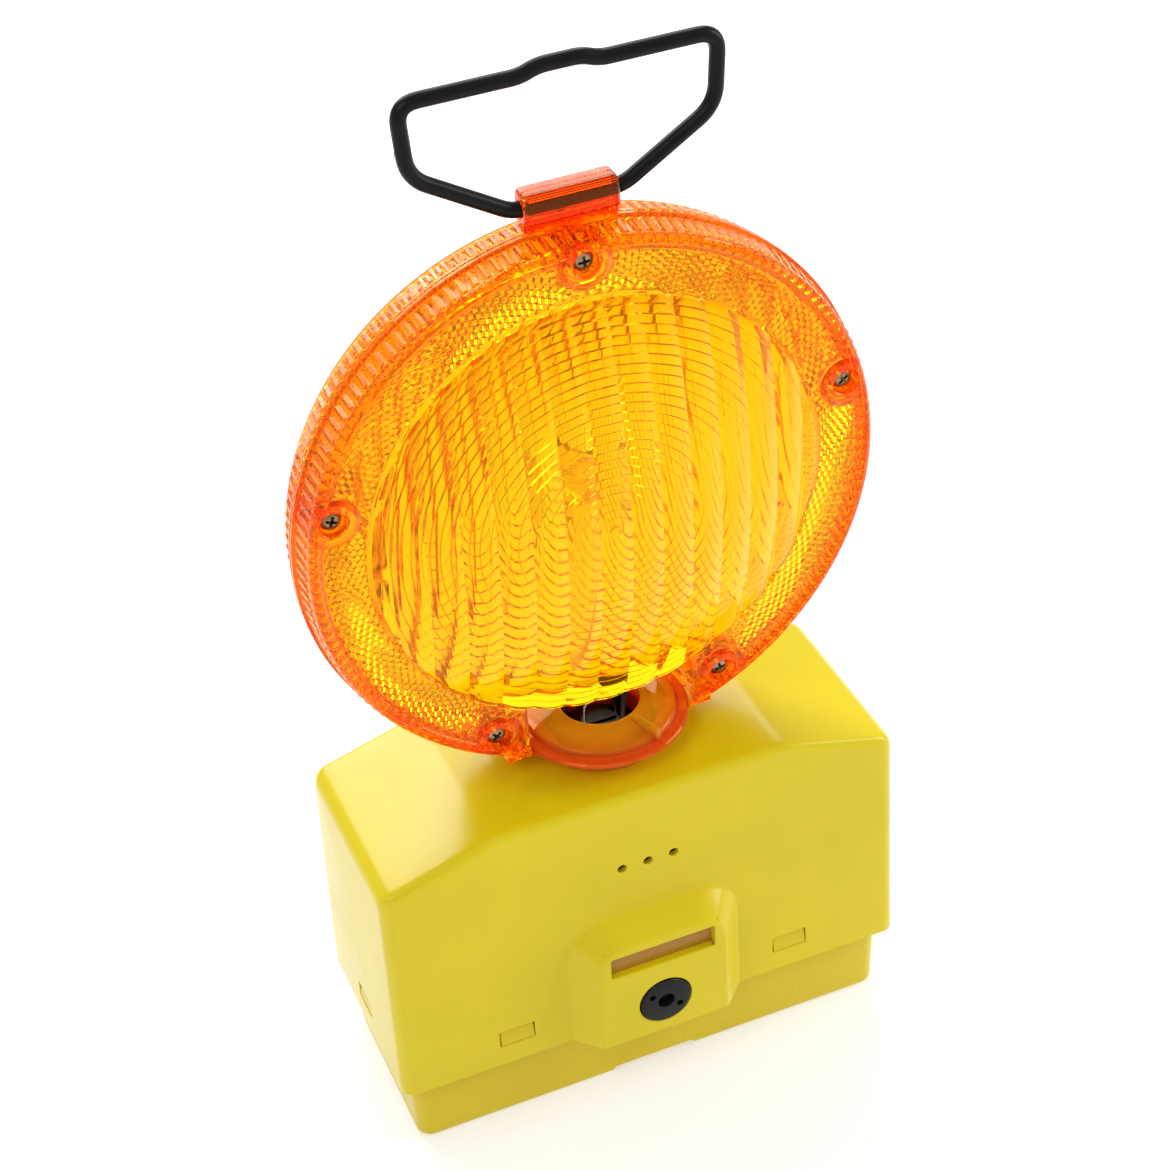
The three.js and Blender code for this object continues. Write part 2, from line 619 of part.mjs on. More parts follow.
function switchBody() {
  const block = box([-8, 8], [BOARD_FRONT, BOARD_FRONT + 7], [SWITCH_LOW, 88 - GAP]);
  return cut(block, box([-5, 5], [BOARD_FRONT + 2, BOARD_FRONT + 5], [SWITCH_LOW - 1, SWITCH_LOW + 5]));
}

function switchSlider() {
  const across = [-4.5, -0.5];
  return box(across, [BOARD_FRONT + 2 + GAP, BOARD_FRONT + 5 - GAP], [SWITCH_LOW - 4, SWITCH_LOW + 4.5]);
}

// ---------------------------------------------------------------- turret
function collar() {
  const shoulderLow = PLATFORM_Z + 3.4;
  const grooveLow = 133;
  const grooveHigh = 136.2;
  const profile = [[SHOULDER_RADIUS, shoulderLow], [SHOULDER_RADIUS, 146.5], [COLLAR_RADIUS - 1, 147],
    [COLLAR_RADIUS, 147.3], [COLLAR_RADIUS, COLLAR_TOP - 0.6], [COLLAR_RADIUS - 0.8, COLLAR_TOP],
    [27.8, COLLAR_TOP],
    [27.2, COLLAR_TOP + 1.6], [25.8, COLLAR_TOP + 2], [COLLAR_HOLE + 0.6, COLLAR_CROWN],
    [COLLAR_HOLE, COLLAR_CROWN - 0.6], [COLLAR_HOLE, 151.4], [17, 150.4],
    [17, 129], [SLEEVE_RADIUS, 129], [SLEEVE_RADIUS, grooveLow], [18.8, grooveLow], [18.8, grooveHigh],
    [SLEEVE_RADIUS, grooveHigh], [SLEEVE_RADIUS, shoulderLow], [SHOULDER_RADIUS, shoulderLow]];
  const rib = box([-1.2, 1.2], [-28.6, -15.2], [148.5, 152.6]);
  return join(turnedZ(profile, 32), rib.rotate([0, 0, 24]));
}

function turretRing() {
  const ring = turnedZ([[19.2, 133.3], [26.5, 133.3], [26.5, 135.9], [19.2, 135.9], [19.2, 133.3]], 28);
  return cut(ring, box([-6, 6], [0, 40], [130, 140]));
}

function turretSeal() {
  const [inner, outer] = [21.2, SHOULDER_RADIUS];
  const [low, high] = [PLATFORM_Z + GAP, PLATFORM_Z + 3.1];
  return turnedZ([[inner, low], [outer, low], [outer, high], [inner, high], [inner, low]], 28);
}

// Black socket in the turret, with springy fingers round the foot of the lamp stem.
function lampBase() {
  const plate = rodZ(16.6, [0, 0], [134.2, 137], 32);
  const socket = rodZ(7.6, [0, 0], [136.5, 146.5], 20);
  let body = join(plate, socket);
  for (const degrees of [35, 145, 215, 325]) {
    const finger = box([11.6, 14], [-2.6, 2.6], [136.5, 147.5]);
    body = join(body, finger.rotate([0, 0, degrees]));
  }
  return cut(body, box([-6.4, 6.4], [-1.1, 1.1], [138, 148]));
}

// Clear flat stem that stands in the socket and widens round the lamps at the lens centre.
function lampStem() {
  const [foot, narrow, wide, top] = [6, STEM_HALF, STEM_HEAD, 254];
  const right = [[foot, 138.4, 0], [foot, 150, 1], [narrow, 154, 1], [narrow, 227, 2],
    [wide, 232.5, 2], [wide, top, 2]];
  const left = right.map(([x, z, radius]) => [-x, z, radius]).reverse();
  return prismY(roundedOutline([...right, ...left]), -0.8, 0.8, 2);
}

function lampDiode(side) {
  const seat = side * 1.1;
  const tip = side * 8.6;
  const profile = [[0, seat], [4.6, seat], [4.6, seat + side * 1.2], [4, seat + side * 1.2],
    [4, seat + side * 4.5], [3, seat + side * 6.6], [0, tip]];
  return turnedY(profile, 20, [0, HEAD_Z]);
}

const LEAD_RADIUS = 1;

const curveThrough = (points) =>
  new THREE.CatmullRomCurve3(points.map(([x, y, z]) => new THREE.Vector3(x, y, z)));

// The lead rises from the socket, bows out over the collar and ends at the stem's edge.
function headLead() {
  const path = curveThrough([[3.6, -9.8, 137.4], [4.4, -9.6, 143], [7.4, -4.6, 149.4], [10.4, 0.5, 155],
    [9.2, 2.2, 161], [6.2, 1.2, 164], [4.9, 0.6, 168]]);
  return wire(path, LEAD_RADIUS, 6, 18);
}

const PLUG_TOP = 133.6;

function leadPlug() {
  return box([-4, 4], [-2.5, 2.5], [126.4, PLUG_TOP]);
}

function boardLead() {
  const path = curveThrough([[-10, -31, 114], [-10, -30.8, 120], [-9.5, -29.6, 125], [-10, -22, 126.6],
    [-11, -10, 127], [-9, -2, 127.3], [-4.4, 0, 127.6]]);
  return wire(path, LEAD_RADIUS, 6, 20);
}

// ---------------------------------------------------------------- lens head
// One lens half as [radius, distance from the parting plane] pairs: rim wall, front flange,
// reflector ring and bulging optic, then back along the inside.
function lensProfile() {
  const seam = 0.15;
  const domeRadius = (OPTIC_RADIUS ** 2 + (OPTIC_CROWN - 13) ** 2) / (2 * (OPTIC_CROWN - 13));
  const crown = (radius) => OPTIC_CROWN - domeRadius + Math.sqrt(domeRadius ** 2 - radius ** 2);
  const wall = 2.4;
  const outside = [[RIM_RADIUS, seam], [RIM_RADIUS, 1.8], [RIM_RADIUS - 1.1, 2.2],
    [RIM_RADIUS - 2.2, 11.4], [POST_REACH, 13.2], [RIM_RADIUS - 5.4, 13.8], [RIM_RADIUS - 6.8, 12.4],
    [OPTIC_RADIUS + 1, 12.4], [OPTIC_RADIUS, 13],
    [62, crown(62)], [34, crown(34)], [0, OPTIC_CROWN]];
  const inside = [[0, OPTIC_CROWN - wall], [34, crown(34) - wall], [62, crown(62) - wall],
    [OPTIC_RADIUS, 10], [RIM_RADIUS - 6.4, 10], [RIM_RADIUS - 4.4, 8.6], [RIM_RADIUS - 3.6, seam]];
  return [...outside, ...inside, outside[0]];
}

const screwPlace = (degrees) => {
  const angle = (degrees * Math.PI) / 180;
  return [SCREW_CIRCLE * Math.cos(angle), HEAD_Z + SCREW_CIRCLE * Math.sin(angle)];
};

const SCREW_SEAT = 8.4;                 // where the screw heads bear, from the parting plane
const NECK_RADIUS = 30.7;               // the feet's inner edge, in the collar's groove
const FOOT_REACH = 39;
const FOOT_LOW = 145.2;
const FOOT_TOP = 146.8;
const LENS_SIDES = 40;

// Both halves are built facing the front (towards -Y); the rear one is turned round after.
function lensHalf(isFront) {
  const places = SCREW_ANGLES.map((degrees) => screwPlace(isFront ? degrees : 180 - degrees));
  const profile = lensProfile().map(([radius, away]) => [radius, -away]);
  let body = turnedY(profile, LENS_SIDES, [0, HEAD_Z]);

  // Screw bosses: cups with a seat in front, plain posts behind, none past the rim.
  const envelope = rodY(POST_REACH, [0, HEAD_Z], [-20, 0], LENS_SIDES);
  for (const place of places) {
    const post = rodY(isFront ? 7 : 5.2, place, [isFront ? -12.9 : -11.4, -0.15], 16);
    body = join(body, post.intersect(envelope));
  }

  // Half of the clip that carries the handle, on a web that stands on the rim.
  const block = roundedOutline([[-CLIP_DEPTH, CLIP_LOW, 1], [-0.15, CLIP_LOW, 0], [-0.15, CLIP_HIGH, 0],
    [-CLIP_DEPTH, CLIP_HIGH, 2.5]]);
  const alongX = (y, z, x) => [x, y, z];
  body = join(body, layered(block, [-CLIP_HALF, CLIP_HALF], alongX, 3),
    box([-CLIP_HALF + 1, CLIP_HALF - 1], [-3.4, -0.15], [HEAD_Z + RIM_RADIUS - 4.5, CLIP_LOW + 1]));

  // Feet that reach into the collar's groove.
  for (const side of [-1, 1]) {
    const foot = box(onSide(side, NECK_RADIUS, FOOT_REACH), [-10, -0.15], [FOOT_LOW, FOOT_TOP]);
    const leg = box(onSide(side, CUTOUT_RADIUS + 0.2, FOOT_REACH), [-10, -0.15], [FOOT_LOW, 153]);
    body = join(body, foot, leg);
  }

  // Room for the collar, below the optic only.
  const optic = rodY(OPTIC_RADIUS, [0, HEAD_Z], [-60, 60], LENS_SIDES);
  const well = cut(rodZ(CUTOUT_RADIUS, [0, 0], [FOOT_TOP, 178], 32), optic);
  const skirtRoom = rodZ(CUTOUT_RADIUS, [0, 0], [138, FOOT_LOW], 32);
  const neck = rodZ(NECK_RADIUS, [0, 0], [138, 150], 32);
  const bore = rodX(HANDLE_BAR + 0.4, [0, HANDLE_Z], [-CLIP_HALF - 2, CLIP_HALF + 2], 16);
  body = cut(body, well, skirtRoom, neck, bore);

  for (const place of places) {
    if (isFront) {
      body = cut(body, rodY(4.3, place, [-16, -SCREW_SEAT], 14), rodY(1.8, place, [-14, 1], 8));
    } else {
      body = cut(body, rodY(1.8, place, [-10.4, 1], 8));
    }
  }
  return isFront ? body : body.rotate([0, 0, 180]);
}

function lensScrew(degrees) {
  const place = screwPlace(degrees);
  const seat = -SCREW_SEAT - GAP;
  const top = seat - 2.4;
  const profile = [[0, top], [2.2, top], [3.5, top + 0.8], [3.8, seat], [1.5, seat], [1.5, 8.6], [0, 9.8]];
  const body = turnedY(profile, 12, place);
  const [x, z] = place;
  return cut(body, box([x - 1.9, x + 1.9], [top - 1, top + 1.3], [z - 0.4, z + 0.4]),
    box([x - 0.4, x + 0.4], [top - 1, top + 1.3], [z - 1.9, z + 1.9]));
}

// ---------------------------------------------------------------- handle
// One wire bent into a closed loop: straight through the clip, out and up on both sides, and
// across the top with a small hump in the middle. Its ends meet inside the clip.
function handleBar() {
  const half = [[0.3, 0, 0], [18.5, 0, 4], [50.5, 19.5, 7], [52, 43.8, 7], [13, 43.8, 3], [7, 46, 3],
    [0, 46, 0]];
  const right = half.map(([x, rise, radius]) => [x, HANDLE_Z + rise, radius]);
  const left = half.slice(0, -1).map(([x, rise, radius]) => [-x, HANDLE_Z + rise, radius]).reverse();
  const corners = [...right, ...left];
  const at = ([x, z]) => new THREE.Vector3(x, 0, z);
  const path = new THREE.CurvePath();
  let from = at(corners[0]);
  for (let i = 1; i < corners.length; i += 1) {
    const corner = at(corners[i]);
    const radius = corners[i][2];
    const before = at(corners[i - 1]).sub(corner).setLength(radius).add(corner);
    path.add(new THREE.LineCurve3(from, before));
    from = before;
    if (radius > 0 && i < corners.length - 1) {
      const after = at(corners[i + 1]).sub(corner).setLength(radius).add(corner);
      path.add(new THREE.QuadraticBezierCurve3(before, corner, after));
      from = after;
    }
  }
  return wire(path, HANDLE_BAR, 8, 76);
}

// ---------------------------------------------------------------- assembly
piece('tray', tray(), yellow);
piece('battery_left', battery(-BATTERY_X), jacket);
piece('battery_right', battery(BATTERY_X), jacket);
for (const [side, x] of [['left', -BATTERY_X], ['right', BATTERY_X]]) {
  piece(`spring_${side}_center`, spring(x, 0), steel);
  piece(`spring_${side}_corner`, spring(x + 21, 21), steel);
}

piece('hood', hood(), yellow);
piece('contact_carrier', contactCarrier(), carrierGrey);
piece('contact_strip_center', contactStrip(-70, 70, 0), brass);
piece('contact_strip_corner', contactStrip(-49, 87, 21), brass);
CARRIER_POSTS.forEach((place, i) => {
  piece(`carrier_screw_${i + 1}`, panScrewZ(place, STRIP_HIGH - 1.6), steel);
});
piece('circuit_board', circuitBoard(), boardGreen);
BOARD_POSTS.forEach((place, i) => piece(`board_screw_${i + 1}`, boardScrew(place), steel));
piece('photocell', domeLight([0, SIGNAL_Z], 2.5, -36.2), cellGlass);
piece('indicator_left', domeLight([-SIGNAL_PITCH, SIGNAL_Z], 1.5, -36.4), ledClear);
piece('indicator_right', domeLight([SIGNAL_PITCH, SIGNAL_Z], 1.5, -36.4), ledClear);
piece('switch_body', switchBody(), black);
piece('switch_slider', switchSlider(), whitePlastic);
piece('lead_plug', leadPlug(), whitePlastic);
piece('board_lead', boardLead(), black);

piece('lock_plug', lockPlug(), black);
piece('lock_shaft', lockShaft(), steel);
piece('lock_clip', lockClip(), steel);
piece('lock_cam', lockCam(), steel);
piece('cam_nut', hexNut([0, LOCK_Z], [-30.2, -27.4], 10, 3.2), steel);

piece('collar', collar(), amber);
piece('turret_ring', turretRing(), whitePlastic);
piece('turret_seal', turretSeal(), sealSilicone);
piece('lamp_base', lampBase(), black);
piece('lamp_stem', lampStem(), ledClear);
piece('lamp_diode_front', lampDiode(-1), ledClear);
piece('lamp_diode_rear', lampDiode(1), ledClear);
piece('head_lead', headLead(), black);
piece('front_lens', lensHalf(true), amber);
piece('rear_lens', lensHalf(false), amber);
SCREW_ANGLES.forEach((degrees, i) => piece(`lens_screw_${i + 1}`, lensScrew(degrees), steel));
piece('handle_bar', handleBar(), black);

export default lamp;
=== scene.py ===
import math

import bmesh
import bpy
import numpy as np
from mathutils import Matrix, Vector
from mathutils.geometry import delaunay_2d_cdt


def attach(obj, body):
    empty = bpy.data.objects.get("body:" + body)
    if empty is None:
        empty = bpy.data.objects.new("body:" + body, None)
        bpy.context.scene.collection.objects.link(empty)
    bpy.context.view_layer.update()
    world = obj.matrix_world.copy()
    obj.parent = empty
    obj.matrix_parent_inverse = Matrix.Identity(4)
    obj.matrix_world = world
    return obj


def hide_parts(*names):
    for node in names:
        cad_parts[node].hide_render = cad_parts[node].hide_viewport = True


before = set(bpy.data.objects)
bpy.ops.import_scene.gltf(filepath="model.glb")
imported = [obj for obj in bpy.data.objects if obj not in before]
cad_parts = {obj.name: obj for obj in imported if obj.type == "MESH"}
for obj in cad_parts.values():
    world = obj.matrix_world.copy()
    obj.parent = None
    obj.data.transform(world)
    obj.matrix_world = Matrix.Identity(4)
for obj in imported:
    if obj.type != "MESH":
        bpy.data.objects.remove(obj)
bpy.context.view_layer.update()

# The hazard warning lamp's finished look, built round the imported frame. Lengths in the shape code are
# millimetres in the frame's axes (-Y front, +Z up) and are turned into metres when a mesh is made.

MM = 0.001

# ------------------------------------------------------------------ sizes shared by several pieces
HOOD_FOOT, SHOULDER_Z, PLATFORM_Z = 31.4, 127.0, 139.0
HOOD_HALF, HOOD_DEEP, PLATFORM_HALF = 100.0, 41.0, 57.0
HOOD_WALL, TRAY_WALL, TRAY_TOP = 2.5, 2.0, 50.0
HOOD_CORNER, HOOD_ROUND = 5.0, 4.0
TRAY_HALF, TRAY_DEEP, TRAY_CORNER, TRAY_EDGE = 95.25, 36.25, 5.5, 3.0
LOCK_Z, LOCK_ANGLE = 46.4, math.radians(-33)
WINDOW_X, WINDOW_Z, WINDOW_TALL, WINDOW_WIDE = 55.0, 44.3, 7.5, 13.7
SLOT_Z, SIGNAL_Z, SIGNAL_STEP = 70.25, 107.0, 10.0
HEAD_Z, RIM, OPTIC = 242.9, 103.0, 80.0
SCREWS = [90, 14.8, 165.2, -62.9, -117.1]
SCREW_CIRCLE = 93.5
CLIP_Z, CLIP_BOTTOM = 353.5, 346.5
# Room for the collar's flange and its neck in the lens halves, and the feet that hook under the flange.
CUTOUT, NECK = 33.8, 30.7
FOOT_LOW, FOOT_TOP, FOOT_OUT = 145.2, 146.8, 39.0


# ------------------------------------------------------------------ meshes
def mesh_object(name, points, faces):
    mesh = bpy.data.meshes.new(name)
    mesh.from_pydata((np.asarray(points, float) * MM).tolist(), [], faces)
    work = bmesh.new()
    work.from_mesh(mesh)
    bmesh.ops.recalc_face_normals(work, faces=work.faces)
    work.to_mesh(mesh)
    work.free()
    made = bpy.data.objects.new(name, mesh)
    bpy.context.scene.collection.objects.link(made)
    return made


def bake(target):
    """Replaces the object's mesh with what its modifiers make of it."""
    graph = bpy.context.evaluated_depsgraph_get()
    target.data = bpy.data.meshes.new_from_object(target.evaluated_get(graph))
    target.modifiers.clear()
    return target


def combine(target, operation, *tools):
    """Joins closed solids to the target, cuts them from it or keeps what they share."""
    for tool in tools:
        step = target.modifiers.new("step", "BOOLEAN")
        step.operation = operation
        step.object = tool
        step.solver = "MANIFOLD"
    bake(target)
    for tool in tools:
        bpy.data.objects.remove(tool)
    return target


def join(target, *tools):
    return combine(target, "UNION", *tools)


def cut(target, *tools):
    return combine(target, "DIFFERENCE", *tools)


def soften(target, width, segments=2, angle=40):
    """Rounds the edges sharper than the angle."""
    step = target.modifiers.new("round", "BEVEL")
    step.width = width * MM
    step.segments = segments
    step.limit_method = "ANGLE"
    step.angle_limit = math.radians(angle)
    return bake(target)


def shade(target, angle=32):
    target.data.shade_smooth()
    target.data.set_sharp_from_angle(angle=math.radians(angle))
    return target


class Skin:
    """Points and faces of one closed surface, built loop by loop."""

    def __init__(self):
        self.points, self.faces = [], []

    def loop(self, points):
        first = len(self.points)
        self.points.extend(points)
        return list(range(first, len(self.points)))

    def stitch(self, a, b):
        """Fills between two closed loops that start side by side, whatever their counts."""
        if len(a) == len(b):
            for i in range(len(a)):
                k = (i + 1) % len(a)
                self.faces.append((a[i], a[k], b[k], b[i]))
            return
        i = j = 0
        while i < len(a) or j < len(b):
            if (i + 1) * len(b) <= (j + 1) * len(a):
                self.faces.append((a[i], a[(i + 1) % len(a)], b[j % len(b)]))
                i += 1
            else:
                self.faces.append((a[i % len(a)], b[(j + 1) % len(b)], b[j]))
                j += 1

    def object(self, name):
        return mesh_object(name, self.points, self.faces)


def loft(name, loops):
    """A closed solid through loops of equal count, with flat ends."""
    skin = Skin()
    rows = [skin.loop(points) for points in loops]
    for a, b in zip(rows, rows[1:]):
        skin.stitch(a, b)
    skin.faces.append(tuple(reversed(rows[0])))
    skin.faces.append(tuple(rows[-1]))
    return skin.object(name)


def turned(name, profile, sides, place):
    """A solid of revolution. place(radius, angle, along) gives a point; radius 0 is a pole."""
    skin = Skin()
    closed = profile[0][0] > 0
    rows = []
    for radius, along in profile:
        if radius <= 0:
            rows.append(skin.loop([place(0, 0, along)]))
            continue
        angles = (2 * math.pi * k / sides for k in range(sides))
        rows.append(skin.loop([place(radius, angle, along) for angle in angles]))
    pairs = list(zip(rows, rows[1:]))
    if closed:
        pairs.append((rows[-1], rows[0]))
    for a, b in pairs:
        if len(a) == 1 and len(b) == 1:
            continue
        if len(a) == 1 or len(b) == 1:
            pole, ring = (a[0], b) if len(a) == 1 else (b[0], a)
            for k in range(sides):
                skin.faces.append((pole, ring[k], ring[(k + 1) % sides]))
        else:
            skin.stitch(a, b)
    return skin.object(name)


def turned_z(name, profile, sides=96, x=0.0, y=0.0):
    return turned(name, profile, sides,
                  lambda r, t, z: (x + r * math.cos(t), y + r * math.sin(t), z))


def turned_y(name, profile, sides, x, z):
    """Profile pairs are radius and distance in front of Y = 0."""
    return turned(name, profile, sides,
                  lambda r, t, away: (x + r * math.cos(t), -away, z + r * math.sin(t)))


def box(name, xs, ys, zs):
    corners = [(xs[0], ys[0]), (xs[1], ys[0]), (xs[1], ys[1]), (xs[0], ys[1])]
    return loft(name, [[(x, y, z) for x, y in corners] for z in zs])


def rounded(half_x, half_y, radius, steps=6):
    """Corner-rounded rectangle as a list of (x, y), anticlockwise."""
    points = []
    for turn, (sx, sy) in enumerate([(1, 1), (-1, 1), (-1, -1), (1, -1)]):
        for k in range(steps + 1):
            angle = (turn + k / steps) * math.pi / 2
            points.append((sx * (half_x - radius) + radius * math.cos(angle),
                           sy * (half_y - radius) + radius * math.sin(angle)))
    return points


def tube(name, path, radius, sides=16):
    """A round wire along points, with flat ends, or closed on itself when the ends meet."""
    points = [Vector(p) for p in path]
    ring = (points[0] - points[-1]).length < 0.05
    if ring:
        points.pop()
    count = len(points)
    skin, rows, normal = Skin(), [], None
    for i, point in enumerate(points):
        ahead = points[(i + 1) % count] if ring or i < count - 1 else point
        behind = points[i - 1] if ring or i > 0 else point
        along = (ahead - behind).normalized()
        if normal is None:
            normal = along.orthogonal().normalized()
        normal = (normal - along * normal.dot(along)).normalized()
        side = along.cross(normal)
        angles = [2 * math.pi * k / sides for k in range(sides)]
        rows.append(skin.loop([tuple(point + (normal * math.cos(a) + side * math.sin(a)) * radius)
                               for a in angles]))
    for a, b in zip(rows, rows[1:]):
        skin.stitch(a, b)
    if ring:
        turn = min(range(sides), key=lambda k: (Vector(skin.points[rows[0][k]])
                                                - Vector(skin.points[rows[-1][0]])).length)
        skin.stitch(rows[-1], rows[0][turn:] + rows[0][:turn])
    else:
        skin.faces += [tuple(reversed(rows[0])), tuple(rows[-1])]
    return skin.object(name)


def bezier(a, b, c, steps):
    """Points of a quadratic curve after a, up to c."""
    a, b, c = (np.array(p, float) for p in (a, b, c))
    shares = [k / steps for k in range(1, steps + 1)]
    return [tuple((1 - t) ** 2 * a + 2 * t * (1 - t) * b + t ** 2 * c) for t in shares]


# ------------------------------------------------------------------ materials
class Nodes:
    """Short names for building one material's node tree."""

    def __init__(self, name):
        self.material = bpy.data.materials.new(name)
        self.material.use_nodes = True
        self.tree = self.material.node_tree
        self.shader = self.tree.nodes["Principled BSDF"]
        self.place = self.add("ShaderNodeTexCoord").outputs["Object"]

    def add(self, kind, **settings):
        node = self.tree.nodes.new(kind)
        for key, value in settings.items():
            if hasattr(node, key):
                setattr(node, key, value)
            else:
                node.inputs[key.replace("_", " ")].default_value = value
        return node

    def link(self, source, target):
        self.tree.links.new(source, target)

    def stretched(self, scale, turn=(0, 0, 0)):
        mapping = self.add("ShaderNodeMapping")
        mapping.inputs["Scale"].default_value = scale
        mapping.inputs["Rotation"].default_value = turn
        self.link(self.place, mapping.inputs["Vector"])
        return mapping.outputs["Vector"]

    def noise(self, scale, detail=3.0, rough=0.55, where=None):
        node = self.add("ShaderNodeTexNoise", Scale=scale, Detail=detail, Roughness=rough)
        self.link(where or self.place, node.inputs["Vector"])
        return node.outputs["Fac"]

    def ramp(self, source, low, high, at=(0.35, 0.65)):
        """A colour ramp between two colours."""
        node = self.add("ShaderNodeValToRGB")
        for stop, position, colour in zip(node.color_ramp.elements, at, (low, high)):
            stop.position = position
            stop.color = (*colour, 1)
        self.link(source, node.inputs["Fac"])
        return node.outputs["Color"]

    def range(self, source, low, high, start=0.3, end=0.7):
        node = self.add("ShaderNodeMapRange")
        node.inputs["From Min"].default_value = start
        node.inputs["From Max"].default_value = end
        node.inputs["To Min"].default_value = low
        node.inputs["To Max"].default_value = high
        self.link(source, node.inputs["Value"])
        return node.outputs["Result"]

    def multiply(self, a, b):
        node = self.add("ShaderNodeMath", operation="MULTIPLY")
        self.link(a, node.inputs[0])
        self.link(b, node.inputs[1])
        return node.outputs["Value"]

    def mix(self, share, a, b, blend="MIX"):
        """Colour a where share is 0, colour b (or the blend of both) where it is 1."""
        node = self.add("ShaderNodeMix", data_type="RGBA", blend_type=blend)
        for value, socket in ((share, 0), (a, 6), (b, 7)):
            if isinstance(value, float):
                node.inputs[socket].default_value = value
            elif isinstance(value, tuple):
                node.inputs[socket].default_value = (*value, 1)
            else:
                self.link(value, node.inputs[socket])
        return node.outputs[2]

    def vector(self, operation, source, value):
        node = self.add("ShaderNodeVectorMath", operation=operation)
        self.link(source, node.inputs[0])
        if value is not None:
            node.inputs[1].default_value = value
        return node.outputs["Value" if operation == "LENGTH" else "Vector"]

    def away(self, point, axes):
        """Distance from a point in millimetres, counted along the axes marked 1 only."""
        offset = self.vector("SUBTRACT", self.place, [c * MM for c in point])
        return self.vector("LENGTH", self.vector("MULTIPLY", offset, axes), None)

    def bands(self, distance, stops):
        """Colour by distance, through (millimetres, colour) stops."""
        ramp = self.add("ShaderNodeValToRGB")
        while len(ramp.color_ramp.elements) < len(stops):
            ramp.color_ramp.elements.new(0.5)
        reach = stops[-1][0]
        for stop, (far, colour) in zip(ramp.color_ramp.elements, stops):
            stop.position = far / reach
            stop.color = (*colour, 1)
        self.link(self.range(distance, 0.0, 1.0, 0.0, reach * MM), ramp.inputs["Fac"])
        return ramp.outputs["Color"]

    def least(self, a, b):
        node = self.add("ShaderNodeMath", operation="MINIMUM")
        self.link(a, node.inputs[0])
        self.link(b, node.inputs[1])
        return node.outputs["Value"]

    def inside(self, centre, half):
        """1 inside a box given by its centre and half sizes in millimetres, 0 outside."""
        away = self.vector("SUBTRACT", self.place, [c * MM for c in centre])
        share = self.vector("ABSOLUTE", self.vector("DIVIDE", away, [h * MM for h in half]), None)
        split = self.add("ShaderNodeSeparateXYZ")
        self.link(share, split.inputs["Vector"])
        most = split.outputs["X"]
        for axis in "YZ":
            node = self.add("ShaderNodeMath", operation="MAXIMUM")
            self.link(most, node.inputs[0])
            self.link(split.outputs[axis], node.inputs[1])
            most = node.outputs["Value"]
        return self.range(most, 1.0, 0.0, 0.985, 1.0)

    def colour(self, source):
        self.link(source, self.shader.inputs["Base Color"])

    def roughness(self, source):
        self.link(source, self.shader.inputs["Roughness"])

    def bump(self, *heights, strength=0.3, depth=0.0001):
        """Height sources, each bump feeding the next."""
        normal = None
        for height in heights:
            node = self.add("ShaderNodeBump")
            node.inputs["Strength"].default_value = strength
            node.inputs["Distance"].default_value = depth
            self.link(height, node.inputs["Height"])
            if normal is not None:
                self.link(normal, node.inputs["Normal"])
            normal = node.outputs["Normal"]
        self.link(normal, self.shader.inputs["Normal"])

    def set(self, **values):
        for key, value in values.items():
            socket = self.shader.inputs[key.replace("_", " ")]
            socket.default_value = (*value, 1) if isinstance(value, tuple) else value
        return self


def scratches(nodes, seed, scale=60.0, thin=0.012):
    """Sparse fine scratches in one slanted direction, as a 0 to 1 mask."""
    where = nodes.stretched((1.0, 1.0, 0.06), (seed, 0.7 * seed, 1.3 * seed))
    lines = nodes.noise(scale * 9, 2.0, 0.5, where)
    sharp = nodes.range(lines, 1.0, 0.0, 0.5 - thin, 0.5 + thin)
    patches = nodes.range(nodes.noise(scale * 0.35, 2.0), 0.0, 1.0, 0.52, 0.62)
    return nodes.multiply(sharp, patches)


def moulded(name, dark, light, rough=(0.2, 0.3), grain=2200.0, seed=1.0, painted_shade=None, **values):
    """Moulded plastic: slow colour drift, pinpoint grain and fine handling scratches. A patch of
    painted shade is a box, as centre and half sizes, with the darker colour painted inside it."""
    nodes = Nodes(name).set(**values)
    marks = scratches(nodes, seed)
    worn = tuple(min(1.0, c * 1.06 + 0.004) for c in light)
    drift = nodes.ramp(nodes.noise(14, 4.0, 0.6), dark, light)
    base = nodes.mix(nodes.range(marks, 0.0, 0.08, 0.0, 1.0), drift, worn)
    # Painted shade: inside the box the colour gives way to a darker one, as if the recess lay in shade.
    if painted_shade:
        centre, half, tone = painted_shade
        base = nodes.mix(nodes.inside(centre, half), base, tone)
    nodes.colour(base)
    nodes.roughness(nodes.range(nodes.noise(38, 5.0, 0.62), rough[0], rough[1]))
    nodes.bump(nodes.noise(30, 2.0, 0.45), nodes.noise(grain, 2.0), strength=0.10, depth=0.0001)
    return nodes.material


def brushed(name, dark, light, rough=(0.18, 0.34), scale=900.0, seed=1.0):
    """Plated or rolled metal: fine directional polish with cloudy tarnish."""
    nodes = Nodes(name).set(Metallic=1.0)
    grain = nodes.noise(scale, 3.0, 0.6, nodes.stretched((1.0, 1.0, 0.05), (0.3 * seed, 0.2, seed)))
    nodes.colour(nodes.ramp(nodes.noise(120, 5.0, 0.65), dark, light))
    nodes.roughness(nodes.range(grain, rough[0], rough[1]))
    nodes.bump(grain, strength=0.12, depth=0.00005)
    return nodes.material


